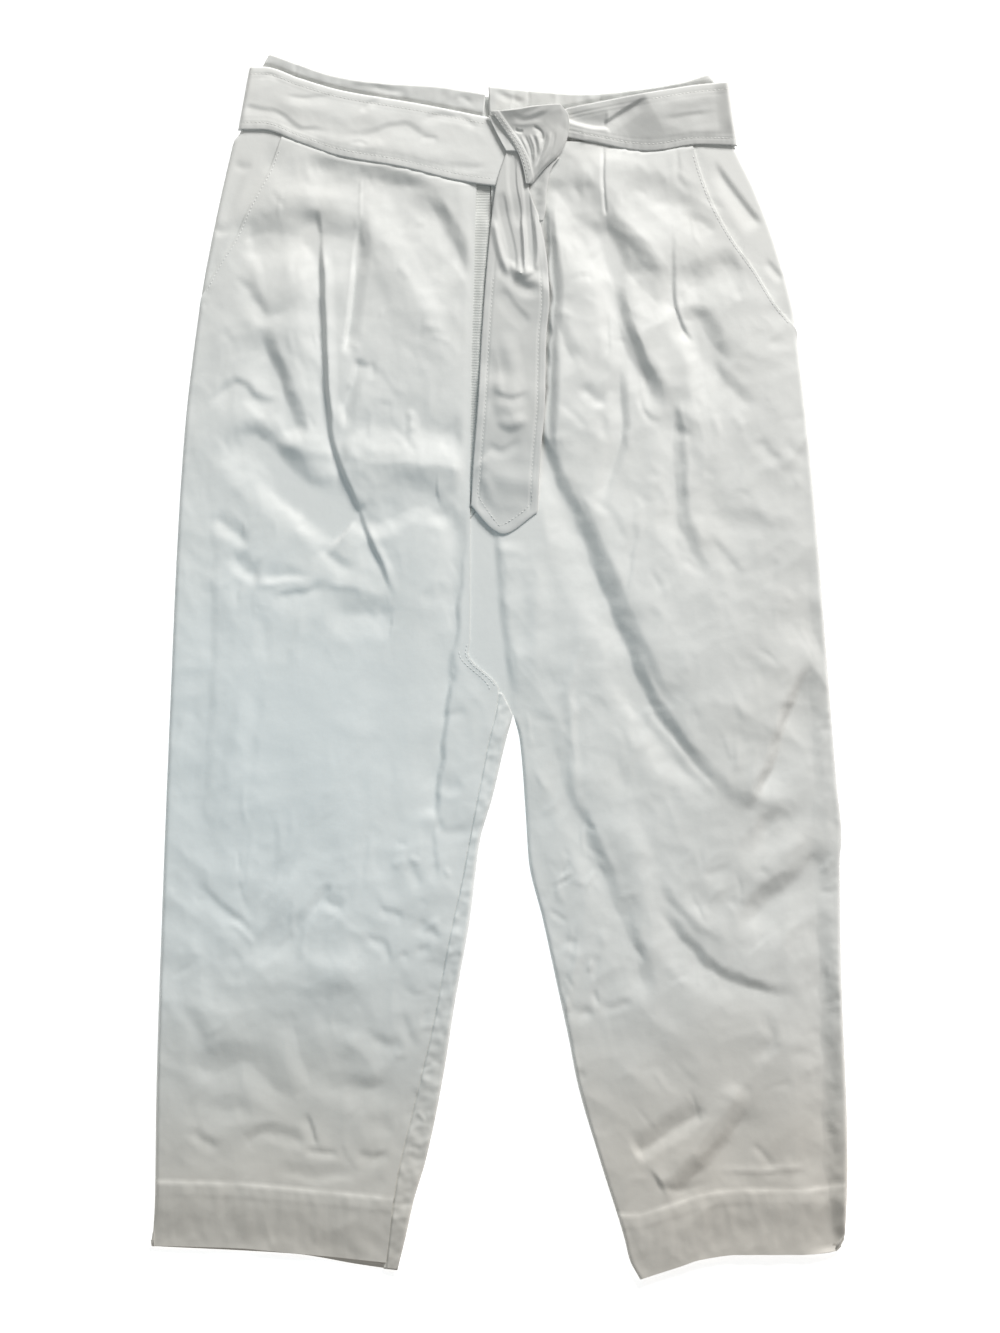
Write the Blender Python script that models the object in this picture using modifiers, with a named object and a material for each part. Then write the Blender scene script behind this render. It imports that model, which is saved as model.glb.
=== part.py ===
"""Cropped trousers with a tie belt, laid flat on their back.

X runs across, +Y points to the waist, +Z up. The origin is under the middle of the bounding box.
Left and right are as seen from above. Tables and sizes are in millimetres.
"""
from collections import namedtuple

import bmesh
import bpy
import numpy as np

COLLECTION = "cropped_trousers"
MM = 0.001

Finish = namedtuple("Finish", "colour roughness")
WHITE_SATEEN = Finish((0.80, 0.81, 0.81), 0.55)
SHADED_SATEEN = Finish((0.74, 0.73, 0.70), 0.60)
ZIP_TAPE = Finish((0.76, 0.78, 0.77), 0.70)

# Cloth, and how its layers lie on each other
WALL = 1.2              # one layer of the leg panels
STRAP_WALL = 1.4        # the belt, two layers and a stiffener
SEAM = 0.3              # gap between pieces that are sewn together
BAND_SEAM = 0.6         # gap along the curved seam under the waistband
OPENING_SEAM = 1.4      # gap in a folded edge's seam where the edge opens out, at crotch and pockets
LAYER_GAP = 0.4         # gap between a piece and the one that lies on it
FRONT_TOP = 6.2         # upper face of the fronts where no fold raises them
LOWEST_TOP = 3.5        # no trough of the fronts goes below this
TUCKED_TOP = 4.0        # upper face of what lies just under a front's edge
FOLD_IN = 3.0           # how far a folded edge reaches in from the outline
UNDER_FRONT_TOP = FRONT_TOP - WALL - LAYER_GAP          # upper face of what a level front's edge covers
LYING_STRAP_TOP = FRONT_TOP + LAYER_GAP + STRAP_WALL    # upper face of a strap pressed onto the fronts
BELT_TOP = 8.6          # upper face of the belt's front runs where they lie loose
OVER_BELT_TOP = BELT_TOP + LAYER_GAP + STRAP_WALL       # upper face of the end where it crosses the belt
BACK_LIFT = STRAP_WALL + LAYER_GAP                      # height of the backs over the belt's back run
BACK_RAMP = 14.0        # stretch over which the backs come down to the floor

# Sizes of the pieces
BAND_DEPTH = 36.0       # waistband
BELT_DEPTH = 48.5       # belt
HEM_DEPTH = 50.0        # turned-up hem
HEM_LIFT = 0.4          # how far its two layers stand proud of the leg
HEM_TURN = 9.0          # its second turn, which shows as a raised strip
TURN_LIFT = 0.5         # how far that strip stands proud of the hem
UNDERLAP = 4.0          # how far a facing runs under the front's edge
BELT_FADE = 12.0        # stretch below the belt over which the folds die away
ZIP_TOP, ZIP_FOOT = 379.0, 127.0
CROTCH = -37.0          # height of the crotch point
LEFT_POCKET_FOOT, RIGHT_POCKET_FOOT = 284.0, 260.0

Edge = namedtuple("Edge", "y x")            # an outline's x at a height y
Line = namedtuple("Line", "x y")            # a line's y at a place x
Rise = namedtuple("Rise", "x by")           # how far a row stands above its inner end
Fold = namedtuple("Fold", "start middle end rise left right")   # a crease, its height, its two widths
Roll = namedtuple("Roll", "inward rise")    # a folded edge's profile, as shares of reach and height


def curve(rows):
    """A smooth curve through a table's rows, which never swings past them."""
    rows = sorted(rows)
    keys = np.array([row[0] for row in rows], float)
    values = np.array([row[1] for row in rows], float)
    steps = np.diff(keys)
    slopes = np.diff(values) / steps
    tangents = np.concatenate(([slopes[0]], np.zeros(len(rows) - 2), [slopes[-1]]))
    for i, (before, after) in enumerate(zip(slopes[:-1], slopes[1:]), start=1):
        if before * after > 0:
            tangents[i] = 2 * before * after / (before + after)

    def read(at):
        at = np.clip(at, keys[0], keys[-1])
        i = np.clip(np.searchsorted(keys, at) - 1, 0, len(steps) - 1)
        t = (at - keys[i]) / steps[i]
        bend = t * (1 - t) * steps[i] * ((1 - t) * tangents[i] - t * tangents[i + 1])
        return values[i] + (values[i + 1] - values[i]) * t * t * (3 - 2 * t) + bend

    return read


def smooth_step(low, high, at):
    """0 at low, 1 at high, smooth between them and level past them."""
    t = np.clip((at - low) / (high - low), 0, 1)
    return t * t * (3 - 2 * t)


# Outlines of the laid-out garment
LEFT_SIDE = curve([
    Edge(472, -178), Edge(463, -183), Edge(440, -194.4), Edge(412.5, -199.4), Edge(405, -205),
    Edge(393, -208), Edge(344, -219), Edge(298, -228), Edge(252, -235), Edge(182, -243), Edge(90, -249),
    Edge(-25, -254), Edge(-149, -259), Edge(-333, -265), Edge(-410, -266), Edge(-446, -268)])
RIGHT_SIDE = curve([
    Edge(457, 162), Edge(449, 166), Edge(430, 176.5), Edge(402.5, 180.2), Edge(394, 184), Edge(367, 197),
    Edge(321, 214), Edge(275, 226), Edge(206, 235), Edge(113, 244), Edge(21, 251), Edge(-87, 259.5),
    Edge(-133, 263.5), Edge(-149, 262), Edge(-226, 263), Edge(-380, 268), Edge(-436, 266), Edge(-450, 259)])
CENTRE_BACK = curve([Edge(450, -4), Edge(200, 4), Edge(CROTCH, 10)])
LEFT_INNER = curve([
    Edge(CROTCH, 9.8), Edge(-56, 5), Edge(-102, -6), Edge(-133, -15), Edge(-195, -23), Edge(-256, -34),
    Edge(-318, -44), Edge(-380, -57), Edge(-410, -66), Edge(-441, -73), Edge(-465, -79)])
RIGHT_INNER = curve([
    Edge(CROTCH, 10.4), Edge(-56, 15), Edge(-118, 20), Edge(-149, 22), Edge(-195, 33), Edge(-241, 43),
    Edge(-287, 53), Edge(-318, 59), Edge(-380, 77), Edge(-441, 96), Edge(-457, 100), Edge(-472, 108)])

# Waist and hem lines, each above its own inner end
LEFT_WAIST, RIGHT_WAIST, BACK_WAIST = 441.0, 447.0, 437.0
LEFT_WAIST_LINE = curve([
    Rise(-205, 34), Rise(-190, 33.5), Rise(-178, 31), Rise(-158, 24), Rise(-127, 14), Rise(-96, 9),
    Rise(-50, 6), Rise(-11, 0)])
RIGHT_WAIST_LINE = curve([
    Rise(-9, 0), Rise(31, -4), Rise(62, -6), Rise(108, -2), Rise(139, 3), Rise(163, 10), Rise(175, 12),
    Rise(185, 12.5)])
BACK_WAIST_LINE = curve([
    Rise(-205, 35), Rise(-178, 29.5), Rise(-127, 17), Rise(-80, 9), Rise(-20, 3), Rise(60, 2), Rise(120, 7),
    Rise(185, 18)])
LEFT_HEM, RIGHT_HEM, LEFT_BACK_HEM, RIGHT_BACK_HEM = -460.0, -472.0, -465.0, -471.0
LEFT_HEM_LINE = curve([Rise(-268, 14), Rise(-204, 12), Rise(-158, 8), Rise(-112, 3.5), Rise(-79, 0)])
LEFT_BACK_HEM_LINE = curve([Rise(-268, 18.5), Rise(-158, 12.5), Rise(-112, 5), Rise(-79, 0)])
RIGHT_HEM_LINE = curve([
    Rise(108, 0), Rise(139, 10), Rise(154, 15), Rise(185, 19), Rise(231, 19), Rise(266, 23)])

# Seams and openings of the fronts
LEFT_CENTRE = curve([
    Edge(441, -11), Edge(370, -18), Edge(298, -20), Edge(236, -22), Edge(125, -23), Edge(21, -23.5),
    Edge(11, -25), Edge(-18, -1.5), Edge(-62, -10), Edge(-123, -22), Edge(-161, -29), Edge(-212, -40),
    Edge(-276, -52), Edge(-340, -67), Edge(-397, -80), Edge(-460, -88)])
RIGHT_CENTRE = curve([
    Edge(447, -9), Edge(340, -6.5), Edge(282, -12), Edge(205, -14), Edge(128, -15), Edge(105, -27),
    Edge(8, -27), Edge(-22, -4), Edge(CROTCH, 10.4)])
WRAP_HEAD = curve([Edge(-18, 0.4), Edge(CROTCH, 9.8)])
LEFT_POCKET = curve([
    Edge(436, -158), Edge(400, -171), Edge(384, -177), Edge(356, -192), Edge(330, -204), Edge(309, -217),
    Edge(LEFT_POCKET_FOOT, -230.6)])
RIGHT_POCKET = curve([
    Edge(425, 142), Edge(399, 149), Edge(376, 156), Edge(353, 165.5), Edge(329, 179), Edge(305, 196),
    Edge(279, 212), Edge(RIGHT_POCKET_FOOT, 228)])
VALLEY = curve([Edge(110, -8), Edge(50, -3), Edge(12, 2), Edge(-33, 9)])    # where the tucked front rises
VALLEY_SLOPE = 9.0          # stretch across which it does
TUCK_HEAD, TUCK_FOOT = (126.0, 106.0), (CROTCH - 16, CROTCH + 4)    # stretches over which it dips and ends

# The belt's runs: their edges along the front and the back, and the folds at the sides
BELT_LEFT_TOP = curve([
    Line(-198, 462), Line(-182, 462), Line(-154, 453), Line(-123, 444), Line(-62, 433.5), Line(-11, 423.5),
    Line(14, 419)])
BELT_LEFT_LOW = curve([
    Line(-202, 413.5), Line(-183, 413.5), Line(-154, 403.5), Line(-123, 393), Line(-77, 385), Line(-31, 374),
    Line(-3, 370), Line(14, 369)])
BELT_RIGHT_TOP = curve([
    Line(30, 424), Line(46, 428.5), Line(77, 435), Line(123, 443), Line(154, 448), Line(178, 450)])
BELT_RIGHT_LOW = curve([
    Line(30, 408), Line(47, 408), Line(69, 404), Line(115, 397), Line(154, 402), Line(183, 401)])
BELT_BACK_TOP = curve([
    Line(-193, 462), Line(-154, 452), Line(-96, 442), Line(0, 435), Line(62, 434), Line(139, 442),
    Line(177, 450)])
BELT_LEFT_FOLD = curve([Edge(462, -193), Edge(413, -202)])
BELT_RIGHT_FOLD = curve([Edge(450, 176.5), Edge(401, 183)])
BELT_LEFT_REACH = 10.0      # the left run ends under the knot
BELT_RIGHT_REACH = 33.0     # and so does the right one

# The belt's knot, the long end that hangs from it and the short end behind
END_LEFT = curve([
    Edge(396, 4.2), Edge(371, -3), Edge(329, -8.5), Edge(259, -14), Edge(205, -17), Edge(167, -20),
    Edge(125, -23)])
END_RIGHT = curve([
    Edge(371.5, 20), Edge(343, 31), Edge(306, 37), Edge(283, 38), Edge(252, 35.5), Edge(205, 34.7),
    Edge(167, 31.6), Edge(119, 28.5)])
END_POINT = curve([Line(-23, 125), Line(-5, 105.5), Line(2, 102.4), Line(28.5, 119)])
END_LEFT_HEAD, END_LEFT_FOOT = 396.0, 125.0         # ends of its left edge, down to the point
END_RIGHT_HEAD, END_RIGHT_FOOT = 371.5, 119.0       # and of its right edge
END_ROWS, END_COLUMNS = 21, 13
END_CLIMB = (345.0, 362.0)  # stretch over which it rises onto the belt
END_GATHERS = 3             # ridges that run down from the knot
GATHER_RISE = 1.8
GATHER_HEAD, GATHER_FOOT = 390.0, 305.0
SHORT_HEAD, SHORT_FOOT = 390.0, 343.0
SHORT_GAP = 0.8             # between the two ends
SHORT_SPREAD = 0.15         # how much wider that gap grows for each millimetre above the knot's foot
SHORT_RIGHT = curve([Edge(SHORT_HEAD, 35.5), Edge(371, 35), Edge(352, 34.4), Edge(SHORT_FOOT, 33.2)])
KNOT_UNDERSIDE = BELT_TOP + LAYER_GAP
KNOT_RIM = 12.0             # height of its top face at the edge
KNOT_CROWN = 19.5
KNOT_HEAD, KNOT_FOOT = 426.0, 370.0
KNOT_ROUNDING = 0.06        # share of its width by which the faces draw in from the sides
KNOT_PLEAT = 0.16           # place of the pleat along its left edge, as a share of the width
KNOT_PLEAT_WIDTH = 0.14
KNOT_PLEAT_SHARE = 0.25     # share of the crown's height that the pleat keeps
KNOT_SIDE_BLUNTNESS, KNOT_END_BLUNTNESS = 0.5, 0.35     # powers that square off the crown's arches
KNOT_HEAD_LINE = curve([Line(-9, 426.5), Line(44, 431.5), Line(52, 427)])
KNOT_LEFT = curve([
    Edge(427, -9), Edge(423, -9), Edge(409.5, -2.3), Edge(396.8, 5), Edge(374, 20.4), Edge(KNOT_FOOT, 22.6)])
KNOT_RIGHT = curve([
    Edge(431, 46), Edge(426, 52), Edge(410, 52.5), Edge(394, 46), Edge(384, 36), Edge(KNOT_FOOT, 26)])
KNOT_CUTS = 7

# The folded edge of the cloth, from the seam at mid-height to the flat
FOLDED_EDGE = [Roll(0.0, 0.0), Roll(0.0, 0.18), Roll(0.13, 0.58), Roll(0.45, 0.88), Roll(1.0, 1.0)]

# Main folds: the rise is up for a ridge and down for a trough, and the two widths are those of
# its slopes to the left and to the right of the way it runs
LEFT_FOLDS = [
    Fold((-107, 392), (-109, 311), (-122, 228), 1.8, 9, 24),
    Fold((-100, 392), (-102, 320), (-113, 238), -1.3, 14, 8),
    Fold((-140, 360), (-136, 262), (-109, 112), -1.9, 12, 12),
    Fold((-203, 320), (-170, 229), (-109, 112), -2.2, 18, 22),
    Fold((-185, 318), (-150, 235), (-120, 160), 1.7, 16, 18),
    Fold((-112, 116), (-92, 73), (-76, 36), -1.7, 10, 16),
    Fold((-125, 156), (-77, 155), (-26, 150), 2.0, 22, 12),
    Fold((-120, 128), (-78, 130), (-38, 128), -1.3, 14, 22),
    Fold((-112, 203), (-70, 192), (-24, 180), -2.0, 26, 18),
    Fold((-62, 376), (-40, 343), (-22, 300), -1.7, 22, 20),
    Fold((-192, 58), (-165, 60), (-138, 70), -1.7, 16, 10),
    Fold((-190, 70), (-164, 74), (-136, 84), 1.3, 14, 16),
    Fold((-27, 121), (-33, 40), (-52, -118), -1.5, 14, 10),
    Fold((-34, 100), (-42, 20), (-62, -105), 1.2, 12, 16),
    Fold((-90, 60), (-100, -60), (-108, -190), 0.9, 30, 34),
    Fold((-150, 50), (-168, -70), (-176, -170), -0.8, 26, 26),
    Fold((-236, -158), (-212, -178), (-190, -200), -1.4, 12, 16),
    Fold((-196, -280), (-165, -254), (-140, -236), 1.5, 18, 24),
    Fold((-186, -300), (-155, -278), (-130, -262), -1.3, 20, 14),
    Fold((-242, -262), (-232, -292), (-218, -322), -1.2, 14, 14),
    Fold((-150, -335), (-140, -352), (-134, -372), -1.0, 14, 14),
    Fold((-232, -345), (-190, -368), (-120, -372), 0.9, 18, 18),
]
RIGHT_FOLDS = [
    Fold((37, 345), (44, 250), (42, 160), -2.4, 12, 14),
    Fold((42, 176), (76, 90), (118, -4), -2.7, 13, 17),
    Fold((110, 12), (148, -58), (194, -120), -2.7, 12, 18),
    Fold((60, 190), (96, 110), (136, 18), 1.8, 14, 24),
    Fold((128, 2), (166, -58), (206, -112), 1.6, 14, 22),
    Fold((80, 404), (83, 330), (100, 240), -1.4, 9, 9),
    Fold((44, 390), (84, 340), (124, 292), -2.1, 16, 18),
    Fold((62, 396), (100, 352), (136, 312), 1.3, 12, 16),
    Fold((92, 268), (110, 232), (116, 184), -2.2, 13, 13),
    Fold((108, 276), (128, 240), (134, 196), 1.4, 14, 14),
    Fold((132, 345), (133, 290), (150, 246), -1.6, 10, 10),
    Fold((156, 242), (179, 211), (205, 172), -1.6, 12, 14),
    Fold((174, 250), (198, 218), (220, 190), 1.2, 12, 14),
    Fold((133, 205), (140, 150), (156, 70), -1.1, 16, 16),
    Fold((252, 6), (216, -44), (184, -138), -2.3, 16, 16),
    Fold((240, 30), (200, -30), (166, -110), 1.2, 14, 16),
    Fold((264, -134), (220, -161), (176, -194), -2.4, 16, 16),
    Fold((262, -112), (226, -136), (196, -164), 1.3, 14, 14),
    Fold((112, -182), (160, -226), (240, -249), -2.1, 14, 18),
    Fold((120, -204), (166, -246), (238, -268), 1.2, 14, 18),
    Fold((22, -30), (74, -126), (116, -262), -1.4, 20, 20),
    Fold((54, -10), (104, -110), (140, -210), 1.2, 20, 26),
    Fold((100, -328), (136, -352), (172, -374), -1.2, 20, 20),
    Fold((110, -392), (142, -372), (172, -352), 0.9, 16, 16),
    Fold((-2, 104), (4, 22), (14, -44), 1.6, 7, 16),
    Fold((236, 40), (242, -160), (250, -360), -0.9, 16, 14),
]
BELT_FOLDS = [
    Fold((-196, 436), (-160, 420), (-100, 411), -0.6, 9, 9),
    Fold((-190, 448), (-120, 426), (-55, 418), 1.1, 9, 12),
    Fold((-178, 424), (-130, 404), (-60, 394), 1.2, 9, 9),
    Fold((-70, 412), (-40, 402), (-14, 392), 1.0, 12, 12),
    Fold((52, 426), (84, 414), (116, 438), -0.6, 7, 9),
    Fold((56, 431), (90, 426), (122, 446), 1.3, 8, 8),
    Fold((60, 412), (110, 408), (160, 412), 1.0, 10, 10),
]
ROUTE_SHARES = np.linspace(0, 1, 13)[:, None]
FADE_SHARE = 0.28       # share of a fold's length over which each end dies away


def fold_relief(folds, x, y):
    """Height that the folds add at each point."""
    total = np.zeros_like(x)
    for fold in folds:
        start, middle, end = (np.array(point, float) for point in (fold.start, fold.middle, fold.end))
        pull = 2 * middle - (start + end) / 2
        t = ROUTE_SHARES
        route = (1 - t) ** 2 * start + 2 * t * (1 - t) * pull + t ** 2 * end
        nearest = np.full(x.shape, np.inf)
        place = np.zeros_like(x)
        side = np.zeros_like(x)
        for i, (near, far) in enumerate(zip(route[:-1], route[1:])):
            run = far - near
            share = np.clip(((x - near[0]) * run[0] + (y - near[1]) * run[1]) / (run @ run), 0, 1)
            off_x = x - near[0] - share * run[0]
            off_y = y - near[1] - share * run[1]
            closer = np.hypot(off_x, off_y) < nearest
            nearest = np.where(closer, np.hypot(off_x, off_y), nearest)
            place = np.where(closer, (i + share) / (len(route) - 1), place)
            side = np.where(closer, run[0] * off_y - run[1] * off_x, side)
        width = np.where(side > 0, fold.left, fold.right)
        slope = np.clip(1 - (nearest / width) ** 2, 0, 1) ** 2
        total += fold.rise * slope * smooth_step(0, FADE_SHARE, place) * smooth_step(1, 1 - FADE_SHARE, place)
    return total


def back_surface(x, y):
    """Under face of the backs: on the floor, and up over the belt's back run."""
    above_belt_edge = y - (BELT_BACK_TOP(x) - BELT_DEPTH)
    return BACK_LIFT * smooth_step(-10 - BACK_RAMP, -10, above_belt_edge)


def seam_height(y):
    """Height of the side seams and the folded inner edges, half-way up the stack of layers."""
    return (FRONT_TOP + BACK_LIFT * smooth_step(310, 378, y)) / 2


def below_belt(x, y):
    """0 under the belt's front runs, 1 well below them."""
    low = np.where(x < BELT_LEFT_REACH, BELT_LEFT_LOW(x), BELT_RIGHT_LOW(x))
    return smooth_step(0, BELT_FADE, low - y)


def beside_end(x, y):
    """0 under the belt's hanging end, 1 well beside or below it."""
    outside = np.maximum(END_LEFT(y) - x, x - END_RIGHT(y))
    return np.maximum(smooth_step(2, 12, outside), smooth_step(98, 88, y))


def front_surface(folds, x, y):
    """Upper face of a front, with its folds kept off what lies on it."""
    relief = fold_relief(folds, x, y) * below_belt(x, y)
    relief = np.where(relief > 0, relief * beside_end(x, y), relief)
    return np.maximum(FRONT_TOP + relief, LOWEST_TOP)


def left_surface(x, y):
    """Upper face of the left front, level along the edge that other pieces lie under."""
    loose = np.maximum(smooth_step(0, 16, LEFT_CENTRE(y) - x), smooth_step(CROTCH + 30, CROTCH - 20, y))
    return FRONT_TOP + (front_surface(LEFT_FOLDS, x, y) - FRONT_TOP) * loose


def wrap_surface(x, y):
    """Upper face of the left back's turned-over strip, level with the left front."""
    return front_surface(LEFT_FOLDS, x, y)


def right_surface(x, y):
    """Upper face of the right front, which dips below the fly to lie under the left one's edge."""
    top = front_surface(RIGHT_FOLDS, x, y)
    tucked = smooth_step(VALLEY_SLOPE, 0, x - VALLEY(y))
    tucked = tucked * smooth_step(*TUCK_HEAD, y) * smooth_step(*TUCK_FOOT, y)
    return top + (TUCKED_TOP - top) * tucked


def level_surface(x, y):
    return np.full_like(x, FRONT_TOP)


def facing_surface(pocket, outward):
    """Upper face of a pocket facing: under the front at the opening, level with it further out."""
    rise = FRONT_TOP - UNDER_FRONT_TOP
    return lambda x, y: UNDER_FRONT_TOP + rise * smooth_step(0, 12, (x - pocket(y)) * outward)


def hem_rise(above):
    """Extra height of the turned-up hem and of the strip along its top, by height above the hem's edge."""
    hem = smooth_step(HEM_DEPTH + 2, HEM_DEPTH, above)
    turn = hem * smooth_step(HEM_DEPTH - HEM_TURN - 2, HEM_DEPTH - HEM_TURN, above)
    return HEM_LIFT * hem + TURN_LIFT * turn


def stations(step, *fixed):
    """Rows that pass through the fixed ones, no further apart than a step."""
    rows = [float(fixed[0])]
    for low in fixed[1:]:
        count = max(1, int(np.ceil((rows[-1] - low) / step)))
        rows.extend(np.linspace(rows[-1], low, count + 1)[1:])
    return np.array(rows)


def hem_stations(hem):
    """Rows of a turned-up hem, from just above it to its edge."""
    turn = HEM_DEPTH - HEM_TURN
    return [hem + above for above in (HEM_DEPTH + 2, HEM_DEPTH, turn, turn - 2, 24, 11, 0)]


def row_height(x, level, lines):
    """y along a row that starts at a level, bent like the waist high up and like the hem low down."""
    waist_line, hem_line = lines
    to_waist = smooth_step(-330, 330, level)
    return level + to_waist * waist_line(x) + (1 - to_waist) * hem_line(x)


def meet_edge(edge, levels, lines):
    """x where each row meets an outline."""
    x = edge(levels)
    for _ in range(8):
        x = edge(row_height(x, levels, lines))
    return x


def joined(upper, lower, height):
    """One outline above a height and another one below it."""
    return lambda y: np.where(y > height, upper(y), lower(y))


def shifted(edge, by):
    """An outline moved across."""
    return lambda y: edge(y) + by


def folded(y):
    """An edge that is folded all the way."""
    return np.ones_like(y)


def folded_below(height):
    """An edge that is folded below a height and lies open above it."""
    return lambda y: smooth_step(height, height - 14, y)


def edge_columns(fold):
    """How far in from the outline the columns of an edge lie, row by row."""
    if fold is None:
        return np.zeros((1, 1))
    inward = FOLD_IN * np.array([point.inward for point in FOLDED_EDGE])
    evenly = FOLD_IN * np.linspace(0, 1, len(FOLDED_EDGE))
    return evenly + (inward - evenly) * fold[:, None]


def spread_columns(left, right, count, fold_left, fold_right):
    """x of each column of each row: a folded edge's own ones, and a count of equal parts between."""
    first = left[:, None] + edge_columns(fold_left)
    last = (right[:, None] - edge_columns(fold_right))[:, ::-1]
    shares = np.linspace(0, 1, count + 1)[1:-1]
    return np.hstack((first, first[:, -1:] + (last[:, :1] - first[:, -1:]) * shares, last))


def fold_down(z, middle, fold_left, fold_right, facing):
    """Bring the folded edges of a surface round to the seam at mid-height."""
    rise = np.array([point.rise for point in FOLDED_EDGE])
    edges = ((fold_left, slice(0, len(rise)), rise), (fold_right, slice(-len(rise), None), rise[::-1]))
    for fold, columns, shares in edges:
        if fold is not None:
            padded = np.pad(fold, 1, mode="edge")
            settled = np.minimum(np.minimum(padded[:-2], padded[2:]), fold)
            gap = SEAM / 2 + (OPENING_SEAM - SEAM) / 2 * (1 - settled[:, None])
            seam = middle[:, columns] + facing * gap
            turned = seam + (z[:, columns] - seam) * shares
            z[:, columns] += (turned - z[:, columns]) * fold[:, None]
    return z


def cloth_material(name, colour, roughness):
    material = bpy.data.materials.new(name)
    material.use_nodes = True
    shader = material.node_tree.nodes["Principled BSDF"]
    shader.inputs["Base Color"].default_value = (*colour, 1.0)
    shader.inputs["Roughness"].default_value = roughness
    shader.inputs["Metallic"].default_value = 0.0
    return material


def finish_piece(name, bm, finish):
    mesh = bpy.data.meshes.new(name)
    bm.to_mesh(mesh)
    bm.free()
    mesh.shade_smooth()
    mesh.materials.append(cloth_material(name, *finish))
    piece = bpy.data.objects.new(name, mesh)
    bpy.data.collections[COLLECTION].objects.link(piece)
    return piece


def sheet(name, x, y, z, wall, facing=1, finish=WHITE_SATEEN):
    """A grid laid over the given points, row by row from the top, and given its wall inwards."""
    rows, columns = x.shape
    bm = bmesh.new()
    bmesh.ops.create_grid(bm, x_segments=columns - 1, y_segments=rows - 1, size=1.0)
    for vertex in bm.verts:
        column = round((vertex.co.x + 1) / 2 * (columns - 1))
        row = round((1 - vertex.co.y) / 2 * (rows - 1))
        vertex.co = (x[row, column] * MM, y[row, column] * MM, z[row, column] * MM)
    if facing < 0:
        bmesh.ops.reverse_faces(bm, faces=bm.faces[:])
    piece = finish_piece(name, bm, finish)
    solidify = piece.modifiers.new("wall", "SOLIDIFY")
    solidify.thickness = wall * MM
    solidify.offset = -1.0
    return piece


def panel(name, levels, edges, lines, surface, count, folds=(None, None), facing=1, hem=None):
    """A piece of the legs or the waistband between two outlines, facing up (1) or down (-1)."""
    left, right = (meet_edge(edge, levels, lines) for edge in edges)
    fold_left, fold_right = (
        fold and fold(row_height(x, levels, lines)) for fold, x in zip(folds, (left, right)))
    x = spread_columns(left, right, count, fold_left, fold_right)
    y = row_height(x, levels[:, None], lines)
    z = surface(x, y)
    if hem is not None:
        z = z + hem_rise(levels - hem)[:, None]
    z = fold_down(z, seam_height(y), fold_left, fold_right, facing)
    return sheet(name, x, y, z, WALL, facing)


def build_fronts():
    left_lines = (LEFT_WAIST_LINE, LEFT_HEM_LINE)
    right_lines = (RIGHT_WAIST_LINE, RIGHT_HEM_LINE)
    panel("front_leg_left",
          stations(25, LEFT_WAIST - BAND_DEPTH - BAND_SEAM, 261, 21, 11, -18, -34, *hem_stations(LEFT_HEM)),
          (joined(LEFT_POCKET, LEFT_SIDE, LEFT_POCKET_FOOT), shifted(LEFT_CENTRE, -SEAM / 2)),
          left_lines, left_surface, 18, (folded_below(LEFT_POCKET_FOOT), None), hem=LEFT_HEM)
    panel("front_leg_right",
          stations(25, RIGHT_WAIST - BAND_DEPTH - BAND_SEAM, 255, 126, 105, 8, -22, CROTCH, -51,
                   *hem_stations(RIGHT_HEM)),
          (joined(RIGHT_CENTRE, RIGHT_INNER, CROTCH), joined(RIGHT_POCKET, RIGHT_SIDE, RIGHT_POCKET_FOOT)),
          right_lines, right_surface, 16, (folded_below(CROTCH), folded_below(RIGHT_POCKET_FOOT)),
          hem=RIGHT_HEM)
    panel("pocket_facing_left", stations(17, LEFT_WAIST - BAND_DEPTH - BAND_SEAM, 379, 371, 265),
          (LEFT_SIDE, shifted(LEFT_POCKET, UNDERLAP)), left_lines, facing_surface(LEFT_POCKET, -1), 4,
          (folded, None))
    panel("pocket_facing_right", stations(17, RIGHT_WAIST - BAND_DEPTH - BAND_SEAM, 390.5, 382, 263),
          (shifted(RIGHT_POCKET, -UNDERLAP), RIGHT_SIDE), right_lines, facing_surface(RIGHT_POCKET, 1), 4,
          (None, folded))
    panel("waistband_front_left", stations(18, LEFT_WAIST, LEFT_WAIST - BAND_DEPTH),
          (LEFT_SIDE, LEFT_CENTRE), left_lines, level_surface, 14, (folded, None))
    panel("waistband_front_right", stations(18, RIGHT_WAIST, RIGHT_WAIST - BAND_DEPTH),
          (RIGHT_CENTRE, RIGHT_SIDE), right_lines, level_surface, 14, (None, folded))


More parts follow.
